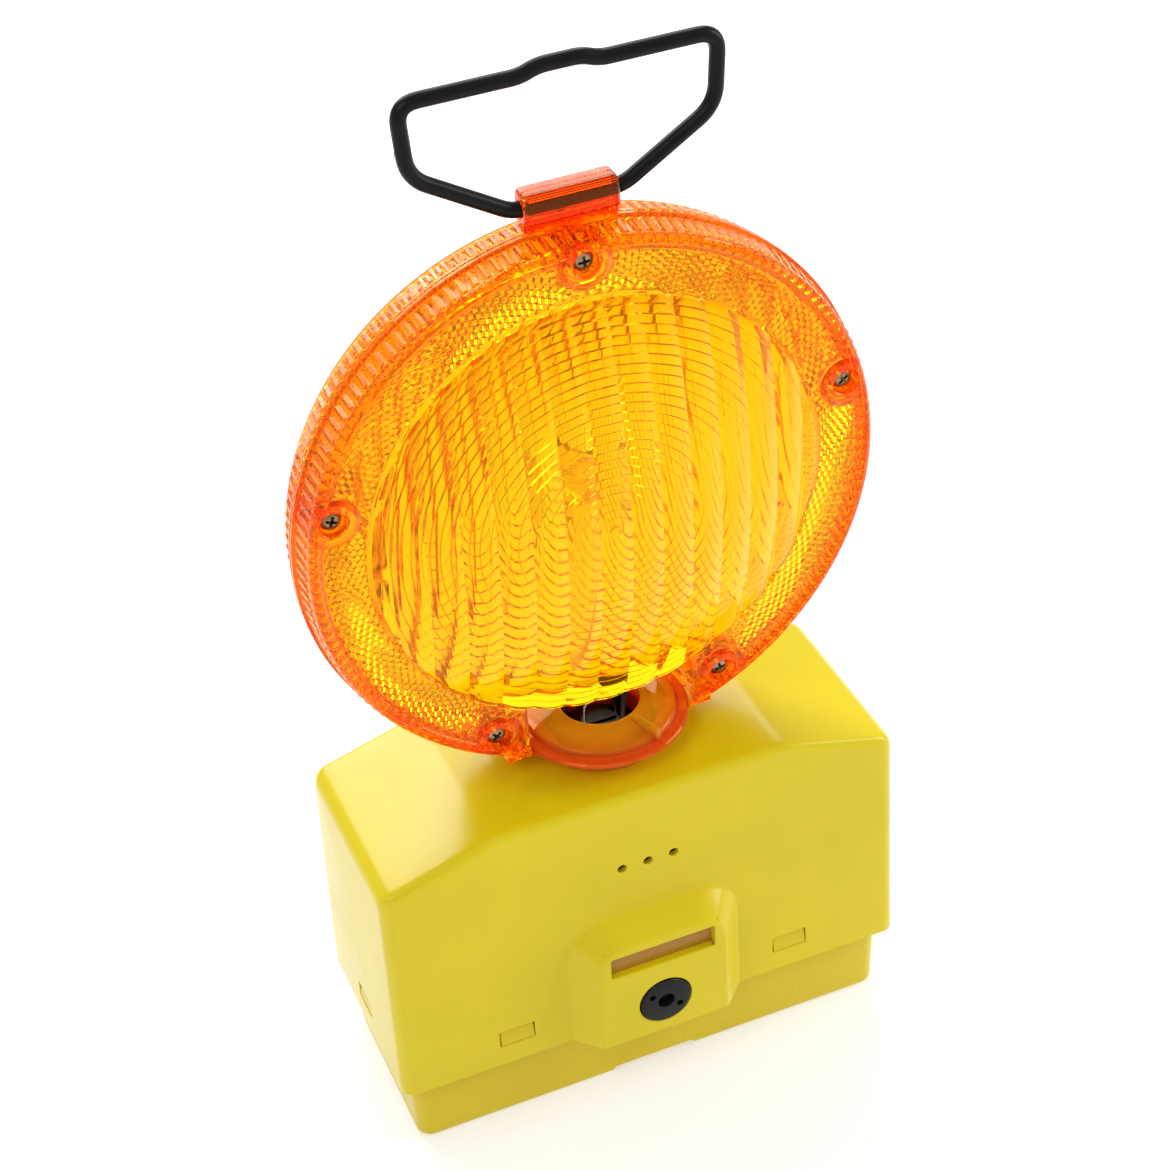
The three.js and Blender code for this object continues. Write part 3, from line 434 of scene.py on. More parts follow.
def clear_amber(name, centre, axes, stops, clear, density, seed=1.0, spots=()):
    """Transparent amber resin. Its colour runs through (millimetres, colour) stops with the distance
    from the centre, and deepens round the screw spots, where it is seen edge on."""
    nodes = Nodes(name).set(Transmission_Weight=clear, IOR=1.49, Specular_Tint=(1.0, 0.48, 0.13))
    cloud = nodes.ramp(nodes.noise(30, 4.0, 0.6), (1.0, 0.95, 0.85), (1.0, 1.0, 1.0))
    tone = nodes.mix(1.0, nodes.bands(nodes.away(centre, axes), stops), cloud, "MULTIPLY")
    nearest = None
    for x, z in spots:
        reach = nodes.away((x, 0, z), axes)
        nearest = nodes.least(nearest, reach) if nearest else reach
    if nearest:
        plain, recess, edge = (1.0, 1.0, 1.0), (1.0, 0.35, 0.4), (1.0, 0.5, 0.6)
        rings = nodes.bands(nearest, [(0, recess), (4.9, recess), (5.3, plain), (7.2, plain),
                                      (7.8, edge), (9.0, edge), (9.8, plain), (12, plain)])
        tone = nodes.mix(1.0, tone, rings, "MULTIPLY")
    nodes.colour(tone)
    marks = scratches(nodes, seed, 45.0)
    nodes.roughness(nodes.range(nodes.noise(60, 4.0, 0.6), 0.02, 0.06))
    nodes.bump(nodes.noise(70, 2.0, 0.5), marks, strength=0.08, depth=0.0001)
    absorb = nodes.add("ShaderNodeVolumeAbsorption")
    absorb.inputs["Color"].default_value = (1.0, 0.78, 0.0, 1)
    absorb.inputs["Density"].default_value = density
    output = nodes.tree.nodes["Material Output"]
    nodes.link(absorb.outputs["Volume"], output.inputs["Volume"])
    return nodes.material


def screw_spot(angle, front=True):
    angle = math.radians(angle if front else 180 - angle)
    return SCREW_CIRCLE * math.cos(angle), HEAD_Z + SCREW_CIRCLE * math.sin(angle)


# Painted shade in the label slot: a darker warm brown fills the recess, standing in for the shade that
# falls inside it.
LABEL_SLOT_PAINTED_SHADE = ((0, -48.1, SLOT_Z), (20.45, 1.65, 4.8), (0.40, 0.19, 0.02))
yellow = moulded("moulded_yellow", (0.65, 0.515, 0.003), (0.70, 0.555, 0.005), (0.16, 0.25), seed=1.2,
                 painted_shade=LABEL_SLOT_PAINTED_SHADE, Specular_IOR_Level=0.32)
# The tray is the hood's yellow plastic made darker: painted shade, for the tray stands in the hood's
# shadow.
tray_yellow_painted_shade = moulded("moulded_yellow_tray_painted_shade", (0.62, 0.465, 0.003), (0.67, 0.505, 0.005), (0.2, 0.3),
                      seed=1.9, Specular_IOR_Level=0.3)
black = moulded("moulded_black", (0.004, 0.004, 0.004), (0.007, 0.0065, 0.006), (0.32, 0.46), 1600.0, 2.1,
                Specular_IOR_Level=0.22)
coated = moulded("coated_wire_black", (0.004, 0.004, 0.004), (0.007, 0.0065, 0.0065), (0.26, 0.38), 1900.0,
                 2.9, Specular_IOR_Level=0.14)
white = moulded("moulded_white", (0.70, 0.70, 0.66), (0.80, 0.80, 0.77), (0.3, 0.45), 1500.0, 3.1)
grey = moulded("carrier_grey", (0.23, 0.24, 0.23), (0.31, 0.32, 0.31), (0.38, 0.55), 1500.0, 0.7)
rubber = moulded("lead_black", (0.008, 0.008, 0.008), (0.016, 0.016, 0.016), (0.5, 0.7), 2600.0, 1.7)
silicone = moulded("seal_amber", (0.70, 0.13, 0.01), (0.78, 0.17, 0.015), (0.5, 0.65), 2100.0, 2.6)
resin = moulded("cell_brown", (0.10, 0.02, 0.012), (0.19, 0.045, 0.03), (0.08, 0.18), 900.0, 0.4)
steel = brushed("plated_steel", (0.50, 0.51, 0.53), (0.72, 0.73, 0.75))
screw_steel = brushed("screw_bronze", (0.20, 0.15, 0.09), (0.46, 0.37, 0.24), (0.2, 0.4), seed=3.0)
brass = brushed("rolled_brass", (0.50, 0.32, 0.09), (0.71, 0.50, 0.19), seed=2.0)
OPTIC_AMBER, CELL_AMBER = (1.0, 0.76, 0.012), (1.0, 0.68, 0.012)
WALL_AMBER, CLIP_AMBER = (1.0, 0.42, 0.012), (1.0, 0.20, 0.02)
# The collar's colours are painted light and shade: a lighter orange on its top, where light falls, and a
# deep red lower down, painted shade for the shaded inner wall seen through it.
COLLAR_LIT_TOP, COLLAR_SHADED_LOW = (1.0, 0.46, 0.015), (1.0, 0.13, 0.015)
LENS_STOPS = [(0, OPTIC_AMBER), (79.6, OPTIC_AMBER), (80.6, CELL_AMBER), (94.9, CELL_AMBER),
              (95.9, WALL_AMBER), (103.1, WALL_AMBER), (104.6, CLIP_AMBER), (120, CLIP_AMBER)]
amber = clear_amber("clear_amber", (0, 0, HEAD_Z), (1, 0, 1), LENS_STOPS, 0.965, 110.0,
                    spots=[screw_spot(angle) for angle in SCREWS])
# Bands by height paint the collar's lit top and its shaded lower part.
amber_collar = clear_amber("clear_amber_collar", (0, 0, 155), (0, 0, 1),
                           [(0, COLLAR_LIT_TOP), (2.6, COLLAR_LIT_TOP), (5.2, COLLAR_SHADED_LOW), (30, COLLAR_SHADED_LOW)],
                           0.55, 20.0, seed=2.2)


# ------------------------------------------------------------------ placing pieces
def finish(target, material, body, nodes=(), angle=32):
    target.data.materials.clear()
    target.data.materials.append(material)
    shade(target, angle)
    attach(target, body)
    if nodes:
        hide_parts(*nodes)
    return target


# ------------------------------------------------------------------ camera, floor and light
camera = bpy.data.objects.new("camera", bpy.data.cameras.new("camera"))
bpy.context.scene.collection.objects.link(camera)
bpy.context.scene.camera = camera
camera.data.lens = 77.5
camera.data.sensor_width = 36.0
camera.data.clip_start = 0.05
camera.data.clip_end = 30.0
camera.matrix_world = Matrix((
    (0.9206, 0.2725, -0.2798, -0.2443),
    (-0.3872, 0.5431, -0.7451, -0.6440),
    (-0.0511, 0.7942, 0.6055, 0.7277),
    (0.0, 0.0, 0.0, 1.0)))


def softbox(name, place, aim, size, power, colour=(1, 1, 1)):
    light = bpy.data.objects.new(name, bpy.data.lights.new(name, "AREA"))
    light.data.shape = "RECTANGLE"
    light.data.size, light.data.size_y = size
    light.data.energy = power
    light.data.color = colour
    light.location = place
    light.rotation_mode = "QUATERNION"
    light.rotation_quaternion = (Vector(aim) - Vector(place)).to_track_quat("-Z", "Y")
    bpy.context.scene.collection.objects.link(light)


softbox("key", (-1.1, -0.7, 1.5), (0, 0, 0.15), (0.9, 0.9), 8)
softbox("back_left", (-0.45, 1.35, 1.15), (-0.05, 0, 0.12), (0.55, 0.8), 6)
softbox("back", (0.2, 1.2, 1.35), (0, 0, 0.15), (1.4, 1.4), 22)
softbox("right", (1.35, -0.35, 0.75), (0, 0, 0.12), (0.7, 0.9), 10)

world = bpy.data.worlds.new("studio")
bpy.context.scene.world = world
world.use_nodes = True
world.node_tree.nodes["Background"].inputs["Color"].default_value = (1, 1, 1, 1)
world.node_tree.nodes["Background"].inputs["Strength"].default_value = 0.62

floor_nodes = Nodes("studio_floor").set(Roughness=0.6, Specular_IOR_Level=0.2)
floor_nodes.set(Emission_Color=(1.0, 1.0, 1.0), Emission_Strength=0.42)
floor_nodes.colour(floor_nodes.ramp(floor_nodes.noise(6, 3.0), (0.64, 0.64, 0.635), (0.66, 0.66, 0.655)))
floor = mesh_object("floor", [(-6000, -6000, 0), (6000, -6000, 0), (6000, 6000, 0), (-6000, 6000, 0)],
                    [(0, 1, 2, 3)])
floor.location.z = -0.0002
floor.data.materials.append(floor_nodes.material)

scene = bpy.context.scene
scene.view_settings.view_transform = "Standard"
scene.cycles.use_denoising = True
scene.cycles.max_bounces = 48
scene.cycles.transmission_bounces = 44
scene.cycles.diffuse_bounces = 4
scene.cycles.glossy_bounces = 44
scene.cycles.transparent_max_bounces = 12
scene.cycles.sample_clamp_indirect = 6.0


# ------------------------------------------------------------------ hood
def wall_y(z):
    """The front wall's outside, which leans back with its draft."""
    return -(HOOD_DEEP - 2.1 * (z - HOOD_FOOT) / (SHOULDER_Z - HOOD_FOOT))


def hood_block(name, inset, foot, corner_steps, arc_steps, chamfer=0.0):
    """The drafted block with sloping shoulders, in from the outside by inset."""
    half, deep = HOOD_HALF - inset, HOOD_DEEP - inset
    corner, edge = HOOD_CORNER - inset, HOOD_ROUND - inset / 2
    section = [(-deep + chamfer, foot), (deep - chamfer, foot), (deep, foot + chamfer)] if chamfer \
        else [(-deep, foot), (deep, foot)]
    rises = np.linspace(foot, PLATFORM_Z - edge, 26)[1:]
    section += [(deep, z) for z in rises]
    section += bezier((deep, PLATFORM_Z - edge), (deep, PLATFORM_Z), (deep - edge, PLATFORM_Z), arc_steps)
    section += [(y, PLATFORM_Z) for y in np.linspace(deep - edge, -deep + edge, 20)[1:]]
    section += bezier((edge - deep, PLATFORM_Z), (-deep, PLATFORM_Z), (-deep, PLATFORM_Z - edge), arc_steps)
    section += [(-deep, z) for z in rises[::-1][1:]]
    if chamfer:
        section.append((-deep, foot + chamfer))
    slope = (PLATFORM_Z - SHOULDER_Z) / (HOOD_HALF - 1.3 - PLATFORM_HALF)
    ends = [math.radians(a) for a in np.linspace(0, 90, corner_steps + 1)]
    stations = [(x, 0.0) for x in np.linspace(0, half - corner, 30)[:-1]]
    stations += [(half - corner * (1 - math.sin(a)), corner * (1 - math.cos(a))) for a in ends]
    stations = [(-x, pull) for x, pull in stations[:0:-1]] + stations

    def place(x, pull, y, z):
        soft = math.sqrt(max(0.0, abs(x) - PLATFORM_HALF + 2) ** 2 + 4) - 2
        top = PLATFORM_Z - slope * soft - inset - pull * 0.8
        rise = z - PLATFORM_Z + top if z > PLATFORM_Z - edge - 0.01 else foot + (z - foot) * (
            top - edge - foot) / (PLATFORM_Z - edge - foot)
        share = (rise - HOOD_FOOT) / (SHOULDER_Z - HOOD_FOOT)
        return (x * (1 - 1.3 * share / half), y * (1 - (pull + 2.1 * share) / deep), rise)

    return loft(name, [[place(x, pull, y, z) for y, z in section] for x, pull in stations])


def boss_block(name, inset, foot, deepest):
    """The raised panel round the lock, as layers that run from the wall out to the plateau."""
    lean = [(1.1, -deepest), (1.1, 0.0)]
    lean += bezier((1.1, 0.0), (0.97, 0.0), (0.9, 0.9), 5)
    lean += bezier((0.13, 7.9), (0.02, 9.0), (-0.12, 9.0), 5)
    layers = []
    for out, rise in lean:
        half = 25 + 8.6 * out - inset
        top = 78.7 + 7.3 * out - inset
        corner = 13 + 4 * out - inset
        points = [(-half, foot), (half, foot)]
        points += [(half, z) for z in np.linspace(foot, top - corner, 8)[1:]]
        points += bezier((half, top - corner), (half, top), (half - corner, top), 10)
        points += [(x, top) for x in np.linspace(half - corner, -half + corner, 10)[1:]]
        points += bezier((-half + corner, top), (-half, top), (-half, top - corner), 10)
        points += [(-half, z) for z in np.linspace(top - corner, foot, 8)[1:-1]]
        share = max(0.0, rise) / 9
        front = -50 + inset
        layers.append([(x, (wall_y(z) + inset - min(0.0, rise)) * (1 - share) + front * share, z)
                       for x, z in points])
    return loft(name, layers)


def flared(name, outline, front, back, flare):
    """A cutter through a wall that faces -Y, opened out at the surface by the flare."""
    cx = sum(x for x, z in outline) / len(outline)
    cz = sum(z for x, z in outline) / len(outline)

    def layer(y, grow):
        return [(x + math.copysign(grow, x - cx), y, z + math.copysign(grow, z - cz)) for x, z in outline]

    return loft(name, [layer(front - 3, flare + 3), layer(front, flare),
                       layer(front + flare, 0), layer(back, 0)])


def moved(points, x, z):
    return [(px + x, pz + z) for px, pz in points]


hood = hood_block("hood_shell", 0, HOOD_FOOT, 8, 8, 0.5)
join(hood, boss_block("boss", 0, HOOD_FOOT, 2.0))
cut(hood, hood_block("room", HOOD_WALL, HOOD_FOOT - 5, 4, 4))
cut(hood, boss_block("boss_room", HOOD_WALL, HOOD_FOOT - 5, 4.0))
join(hood, box("slot_back", (-22.5, 22.5), (-49, -45), (63.4, 77.1)),
     turned_y("bushing", [(0, 49), (12.6, 49), (12.6, 40.5), (0, 40.5)], 64, 0, LOCK_Z))
cut(hood, flared("slot_room", moved(rounded(20.5, 4.85, 1.2, 4), 0, SLOT_Z), -50, -47, 0.35),
    turned_y("bush_room", [(0, 52), (12.2, 52), (10.5, 49.9), (10.3, 49.4), (10.3, 42.5), (0, 42.5)],
             64, 0, LOCK_Z),
    turned_y("shaft_room", [(0, 50), (4.8, 50), (4.8, 39), (0, 39)], 32, 0, LOCK_Z))
signal = [(0, 44), (4.6, 44), (2.15, 39.55), (1.8, 39.0), (1.8, 34), (0, 34)]
for x in (-SIGNAL_STEP, 0, SIGNAL_STEP):
    cut(hood, turned_y("signal", signal, 32, x, SIGNAL_Z))
turret_hole = [(0, 131), (20.5, 131), (20.5, 138.4), (21.1, 139), (21.1, 142), (0, 142)]
cut(hood, turned_z("turret_hole", turret_hole))
snap_outline = rounded(WINDOW_WIDE / 2, WINDOW_TALL / 2, 0.5, 3)
for x in (-WINDOW_X, WINDOW_X):
    for turn in (0, 1):
        window = flared("window", moved(snap_outline, x, WINDOW_Z), wall_y(WINDOW_Z), -30, 0.25)
        if turn:
            window.rotation_euler.z = math.pi
            bpy.context.view_layer.update()
        cut(hood, window)
for turn in (-1, 1):
    window = flared("window", moved(snap_outline, 0, WINDOW_Z), -99.8, -80, 0.25)
    window.rotation_euler.z = turn * math.pi / 2
    bpy.context.view_layer.update()
    cut(hood, window)
posts = [(x, y) for y in (-18, 11) for x in (-75, 75)]
for x, y in posts:
    post = turned_z("post", [(0, 124.3), (3.4, 124.3), (3.8, 124.8), (3.8, 138), (0, 138)], 32, x, y)
    join(hood, combine(post, "INTERSECT", hood_block("roof", 1.3, HOOD_FOOT - 5, 4, 4)))
    cut(hood, turned_z("post_bore", [(0, 123), (1.8, 123), (1.8, 129.5), (0, 129.5)], 20, x, y))
for x in (-18, 18):
    join(hood, turned_y("board_post", [(0, 34.1), (3, 34.1), (3, 38.6), (0, 38.6)], 28, x, 112))
finish(hood, yellow, "hood", ["hood"])


# ------------------------------------------------------------------ tray
def tray_block(name, inset, layers):
    half, deep, corner = TRAY_HALF - inset, TRAY_DEEP - inset, TRAY_CORNER - inset
    outline = rounded(half, deep, corner, 8)
    return loft(name, [[(x * (1 - pull / half), y * (1 - pull / deep), z) for x, y in outline]
                       for z, pull in layers])


def hook(x):
    """Snap hook that all but fills its window: ramped face, square lower edge, for a wall facing -Y."""
    low, high, root = WINDOW_Z - 3.45, WINDOW_Z + 3.5, -TRAY_DEEP + 0.5
    face = wall_y(WINDOW_Z)
    side = [(root, low), (face + 0.15, low), (face + 0.05, low + 0.5), (face + 0.25, low + 2.4),
            (face + 1.0, high - 0.6), (root, high + 0.6)]
    return loft("hook", [[(x + s, y, z) for y, z in side] for s in (-6.45, 6.45)])


foot_round = [(TRAY_EDGE * (1 - math.cos(a)), 0.6 + TRAY_EDGE * (1 - math.sin(a)))
              for a in np.radians(np.linspace(0, 90, 9))]
tray = tray_block("tray_shell", 0, foot_round + [(HOOD_FOOT, 0), (TRAY_TOP - 0.4, 0), (TRAY_TOP, 0.4)])
tray_room = [(2.5, 1), (TRAY_EDGE, 0.6), (HOOD_FOOT, 0), (TRAY_TOP + 1, 0)]
cut(tray, tray_block("tray_room", TRAY_WALL, tray_room))
for side in (-1, 1):
    join(tray, box("rib", sorted((side * 22.8, side * 24.4)), (-35.2, 35.2), (2, 20)))
    ys = sorted((side * (TRAY_DEEP - 8), side * (TRAY_DEEP - 1.8)))
    join(tray, box("notch_roof", (-20, 20), ys, (2, 5.4)))
    ys = sorted((side * (TRAY_DEEP - 6), side * (TRAY_DEEP + 1)))
    slants = [(-18.4, -1), (18.4, -1), (16.3, 2.7), (15.4, 3.4), (-15.4, 3.4), (-16.3, 2.7)]
    cut(tray, loft("notch", [[(x, y, z) for x, z in slants] for y in ys]))
join(tray, box("tongue", (-20, 20), (-TRAY_DEEP, -TRAY_DEEP + 2), (42, 57)))
for side in (-1, 1):
    ledge = box("ledge", sorted((side * 9.5, side * 16)), (-34.45, -29.05), (49.4, 55.8))
    join(tray, cut(ledge, turned_y("sweep", [(0, 40), (13.15, 40), (13.15, 20), (0, 20)], 48, 0, LOCK_Z)))
cut(tray, box("slot", (-5.3, 5.3), (-38.5, -33.75), (LOCK_Z, 60)),
    turned_y("slot_end", [(0, 38.5), (5.3, 38.5), (5.3, 33.75), (0, 33.75)], 40, 0, LOCK_Z))
for x in (-WINDOW_X, WINDOW_X):
    for turn in (0, 1):
        tab = hook(x)
        tab.rotation_euler.z = turn * math.pi
        bpy.context.view_layer.update()
        join(tray, tab)
for turn in (-1, 1):
    tab = hook(0)
    tab.data.transform(Matrix.Translation((0, -(HOOD_HALF - HOOD_DEEP) * MM, 0)))
    tab.rotation_euler.z = turn * math.pi / 2
    bpy.context.view_layer.update()
    join(tray, tab)
finish(tray, tray_yellow_painted_shade, "tray", ["tray"])


# ------------------------------------------------------------------ lens halves
FLUTES, SEAM = 150, 0.15
DOME = (OPTIC ** 2 + 14.0 ** 2) / 28.0
FLUTE_PITCH, RING_PITCH = 11.4, 3.1


def crown(radius):
    return 27 - DOME + math.sqrt(DOME ** 2 - radius ** 2)


def optic_front(x, z):
    """Distance of the fluted outside from the parting plane."""
    share = (x / FLUTE_PITCH + 0.5) % 1.0 * 2 - 1
    return crown(math.hypot(x, z)) - 1.2 * share ** 2


def near_screw(x, z, front):
    return min(math.hypot((x if front else -x) - SCREW_CIRCLE * math.cos(math.radians(a)),
                          z - SCREW_CIRCLE * math.sin(math.radians(a))) for a in SCREWS)


def lens_shell(name, front):
    skin = Skin()

    def ring(radius, away, count, shift=0.0):
        """A loop round the head's axis; radius and away may be functions of the angle."""
        points = []
        for k in range(count):
            angle = 2 * math.pi * (k + shift) / count
            r = radius(angle) if callable(radius) else radius
            d = away(angle, r) if callable(away) else away
            points.append((r * math.cos(angle), -d, HEAD_Z + r * math.sin(angle)))
        return skin.loop(points)

    def bar(base, height):
        """Radius of the outer wall with its raised bars."""
        def radius(angle):
            share = min(1.0, max(0.0, (math.cos(FLUTES * angle) + 0.35) / 0.7))
            return base + height * share * share * (3 - 2 * share)
        return radius

    def groove(base, height):
        """Radius of the inner wall with its scallops."""
        return lambda angle: base + height * abs(math.cos(FLUTES * angle / 2))

    fine, plain = FLUTES * 8, 300
    rows = [ring(RIM - 0.3, SEAM, plain), ring(RIM, 0.45, plain), ring(RIM, 1.5, plain),
            ring(RIM - 0.25, 1.85, plain), ring(RIM - 1.1, 2.15, plain)]
    rows += [ring(RIM - 1.4, 2.6, fine), ring(bar(RIM - 1.6, 0.75), 3.1, fine),
             ring(bar(RIM - 2.0, 0.75), 6.6, fine), ring(bar(RIM - 2.3, 0.75), 10.1, fine),
             ring(RIM - 2.1, 10.7, fine)]
    rows += [ring(RIM - r, d, plain) for r, d in
             [(2.2, 11.4), (2.4, 12.3), (2.9, 13.0), (3.7, 13.5), (4.6, 13.75), (5.4, 13.7),
              (6.1, 13.3), (6.6, 12.75), (7.1, 12.45)]]
    rows += [ring(r, 12.4, plain) for r in (93, 89, 85, 81.6)] + [ring(80.9, 12.45, plain)]
    edge = ring(OPTIC, lambda t, r: optic_front(r * math.cos(t), r * math.sin(t)) - 0.25, plain)
    rows.append(edge)
    for a, b in zip(rows, rows[1:]):
        skin.stitch(a, b)
    start = rows[0]

    # The fluted outside of the optic: columns follow the flutes, so that their valleys are crisp.
    flat = [Vector((skin.points[i][0], skin.points[i][2] - HEAD_Z)) for i in edge]
    bounds = [(k, (k + 1) % plain) for k in range(plain)]
    columns = 8
    reach = int(OPTIC / FLUTE_PITCH * columns) + 1
    for c in range(-reach, reach + 1):
        x = (c + columns / 2) * FLUTE_PITCH / columns
        if abs(x) > OPTIC - 1.5:
            continue
        tall = math.sqrt((OPTIC - 1.1) ** 2 - x * x)
        count = max(2, int(tall / 1.1))
        previous = None
        for z in np.linspace(-tall, tall, count):
            flat.append(Vector((x, z)))
            if c % columns == 0 and previous is not None:
                bounds.append((previous, len(flat) - 1))
            previous = len(flat) - 1
    spots, _, triangles, *_ = delaunay_2d_cdt(flat, bounds, [], 1, 1e-6)
    surface = []
    for k, spot in enumerate(spots):
        if k < plain:
            surface.append(edge[k])
        else:
            surface += skin.loop([(spot.x, -optic_front(spot.x, spot.y), HEAD_Z + spot.y)])
    skin.faces += [tuple(surface[i] for i in triangle) for triangle in triangles]

    # The inside: seam, scalloped wall, the land behind the flange, corner-cube cells, then the rings.
    inner = [ring(RIM - 3.3, SEAM, plain), ring(RIM - 3.6, 0.5, plain)]
    inner += [ring(groove(RIM - 4.5, 0.8), 1.6, fine), ring(groove(RIM - 4.8, 0.9), 5, fine),
              ring(groove(RIM - 5.3, 0.9), 9.2, fine), ring(groove(RIM - 6.1, 0.9), 10.0, fine)]
    inner.append(ring(95.2, 10.0, 369))
    cells, count = [], 369
    for j in range(11):
        radius = 94.6 - 1.3 * j

        def depth(angle, r, j=j):
            i = round(angle * count / (2 * math.pi) - (j % 2) / 2)
            level = (i - j // 2 - j) % 3
            x, z = r * math.cos(angle), r * math.sin(angle)
            share = min(1.0, max(0.0, (near_screw(x, z, front) - 9.6) / 0.8))
            if z < 0 and abs(x) < 47:
                share = 0.0
            return 10.35 - 0.62 * level * share
        cells.append(ring(radius, depth, count, (j % 2) / 2))
    inner.append(cells[0])
    skin.stitch(start, inner[0])
    for a, b in zip(inner, inner[1:]):
        skin.stitch(a, b)
    for j, (a, b) in enumerate(zip(cells, cells[1:])):
        for i in range(count):
            k = (i + 1) % count
            if j % 2 == 0:
                skin.faces += [(a[i], a[k], b[i]), (a[k], b[k], b[i])]
            else:
                skin.faces += [(a[i], b[k], b[i]), (a[i], a[k], b[k])]
    last, rings_at = ring(81.0, 10.1, 240), 240
    skin.stitch(cells[-1], last)
    edges = [OPTIC - 0.6]
    while edges[-1] > RING_PITCH * 1.4:
        edges.append(edges[-1] - RING_PITCH)
    for outer, inside in zip(edges, edges[1:]):
        rise = RING_PITCH * 0.36 * outer / OPTIC + 0.12
        for radius, extra in ((outer, 0.0), ((outer + inside) / 2, rise * 0.55), (inside + 0.12, rise)):
            wall = 3.0 - 1.3 * (radius / OPTIC) ** 6
            row = ring(radius, crown(radius) - wall - extra, rings_at)
            skin.stitch(last, row)
            last = row
    for radius in (edges[-1] * 0.85, edges[-1] * 0.45):
        row = ring(radius, crown(0) - 3.2 - 0.5 * (1 - (radius / edges[-1]) ** 2), rings_at)
        skin.stitch(last, row)
        last = row
    pole = skin.loop([(0, -(crown(0) - 3.7), HEAD_Z)])[0]
    skin.faces += [(pole, last[k], last[(k + 1) % rings_at]) for k in range(rings_at)]
    return skin.object(name)


def merged(name, made):
    """Several closed solids that stand apart, as one object."""
    work = bmesh.new()
    for item in made:
        item.data.transform(item.matrix_world)
        work.from_mesh(item.data)
        bpy.data.objects.remove(item)
    mesh = bpy.data.meshes.new(name)
    work.to_mesh(mesh)
    work.free()
    result = bpy.data.objects.new(name, mesh)
    bpy.context.scene.collection.objects.link(result)
    return result


def bumps(front):
    """Small lenses between the lowest screws and the collar."""
    made = []
    for side in (-1, 1):
        for row, radius in enumerate((83.4, 86.9, 90.4, 93.9)):
            for k in range(5):
                angle = math.radians(-90 + side * (24.2 + 2.45 * k + 1.2 * (row % 2)))
                x, z = radius * math.cos(angle), radius * math.sin(angle)
                if abs(x) > 50 or near_screw(x, z, front) < 8.6:
                    continue
                profile = [(0, 11), (1.25, 11), (1.25, 12.35), (1.1, 12.75), (0.7, 13.05), (0, 13.15)]
                made.append(turned_y("bump", profile, 14, x, HEAD_Z + z))
    return merged("bumps", made)


def clip_half():
    """The front half of the clip, with its two framed panels."""
    side = [(-SEAM, CLIP_BOTTOM), (-SEAM, 359.5)] + bezier((-2.2, 359.5), (-5.2, 359.4), (-5.2, 356.2), 6)
    side += [(-5.2, 350.2), (-4.6, 349.2), (-3.4, 348.8), (-3.4, CLIP_BOTTOM)]
    stations = [(14.6, 0), (15.3, 0.4), (15.8, 1.0), (16, 1.6)]
    stations = [(-x, pull) for x, pull in stations[::-1]] + stations

    def place(x, pull, y, z):
        return (x, (y + SEAM) * (1 - pull / (5.2 - SEAM)) - SEAM, z - pull * (z - CLIP_BOTTOM) / 13)

    body = loft("clip", [[place(x, pull, y, z) for y, z in side] for x, pull in stations])
    join(body, box("web", (-15, 15), (-3.4, -SEAM), (HEAD_Z + RIM - 4.5, 350)))
    for side in (-1, 1):
        xs = sorted((side * 1.6, side * 12.6))
        cut(body, box("panel", xs, (-6, -2.0), (345.2, 348.6)))
    return body


def lens_half(name, front):
    shell = lens_shell(name, front)
    posts, pockets = [], []
    flare = [(9.8, 10.6), (9.6, 12.2), (8.6, 12.6), (7.9, 13.1), (7.2, 13.35)]
    if front:
        post = [(0, SEAM), (6.4, SEAM), (6.4, 9)] + flare + [(0, 13.35)]
        pocket = [(0, SEAM - 1), (1.8, SEAM - 1), (1.8, 8.4), (4.3, 8.4), (4.4, 12.9), (4.9, 13.4),
                  (4.9, 16), (0, 16)]
    else:
        post = [(0, SEAM), (5.2, SEAM), (5.2, 9)] + flare + [(0, 13.1)]
        pocket = [(0, SEAM - 1), (1.8, SEAM - 1), (1.8, 10.2), (0, 10.4)]
    for angle in SCREWS:
        x, z = screw_spot(angle, front)
        posts.append(turned_y("post", post, 48, x, z))
        pockets.append(turned_y("pocket", pocket, 48 if front else 24, x, z))
    envelope = turned_y("envelope", [(0, SEAM), (RIM - 2.7, SEAM), (RIM - 2.7, 11.4), (RIM - 3.1, 12.6),
                                     (RIM - 3.9, 13.3), (0, 13.4)], 300, 0, HEAD_Z)
    join(shell, combine(merged("posts", posts), "INTERSECT", envelope))
    join(shell, bumps(front))
    join(shell, clip_half())
    feet = []
    for side in (-1, 1):
        foot = box("foot", sorted((side * NECK, side * FOOT_OUT)), (-10, -SEAM), (FOOT_LOW, FOOT_TOP))
        leg = box("leg", sorted((side * (CUTOUT + 0.2), side * FOOT_OUT)), (-10, -SEAM), (FOOT_LOW, 153))
        feet.append(join(foot, leg))
    join(shell, merged("feet", feet))
    well = turned_z("well", [(0, FOOT_TOP), (CUTOUT, FOOT_TOP), (CUTOUT, 178), (0, 178)], 128)
    optic_keep = [(0, 60), (OPTIC + 0.25, 60), (OPTIC + 0.25, -60), (0, -60)]
    cut(well, turned_y("optic_keep", optic_keep, 300, 0, HEAD_Z))
    cut(shell, well)
    neck = [(0, 138), (CUTOUT, 138), (CUTOUT, FOOT_LOW), (NECK, FOOT_LOW), (NECK, 150), (0, 150)]
    cut(shell, turned_z("neck", neck, 128))
    cut(shell, merged("pockets", pockets))
    bore = turned("bore", [(0, -18), (3.0, -18), (3.0, 18), (0, 18)], 48,
                  lambda r, t, x: (x, r * math.cos(t), CLIP_Z + r * math.sin(t)))
    cut(shell, bore)
    if not front:
        shell.data.transform(Matrix.Rotation(math.pi, 4, "Z"))
    return finish(shell, amber, "head", [name.replace("_shell", "")], 16)


lens_half("front_lens_shell", True)
lens_half("rear_lens_shell", False)


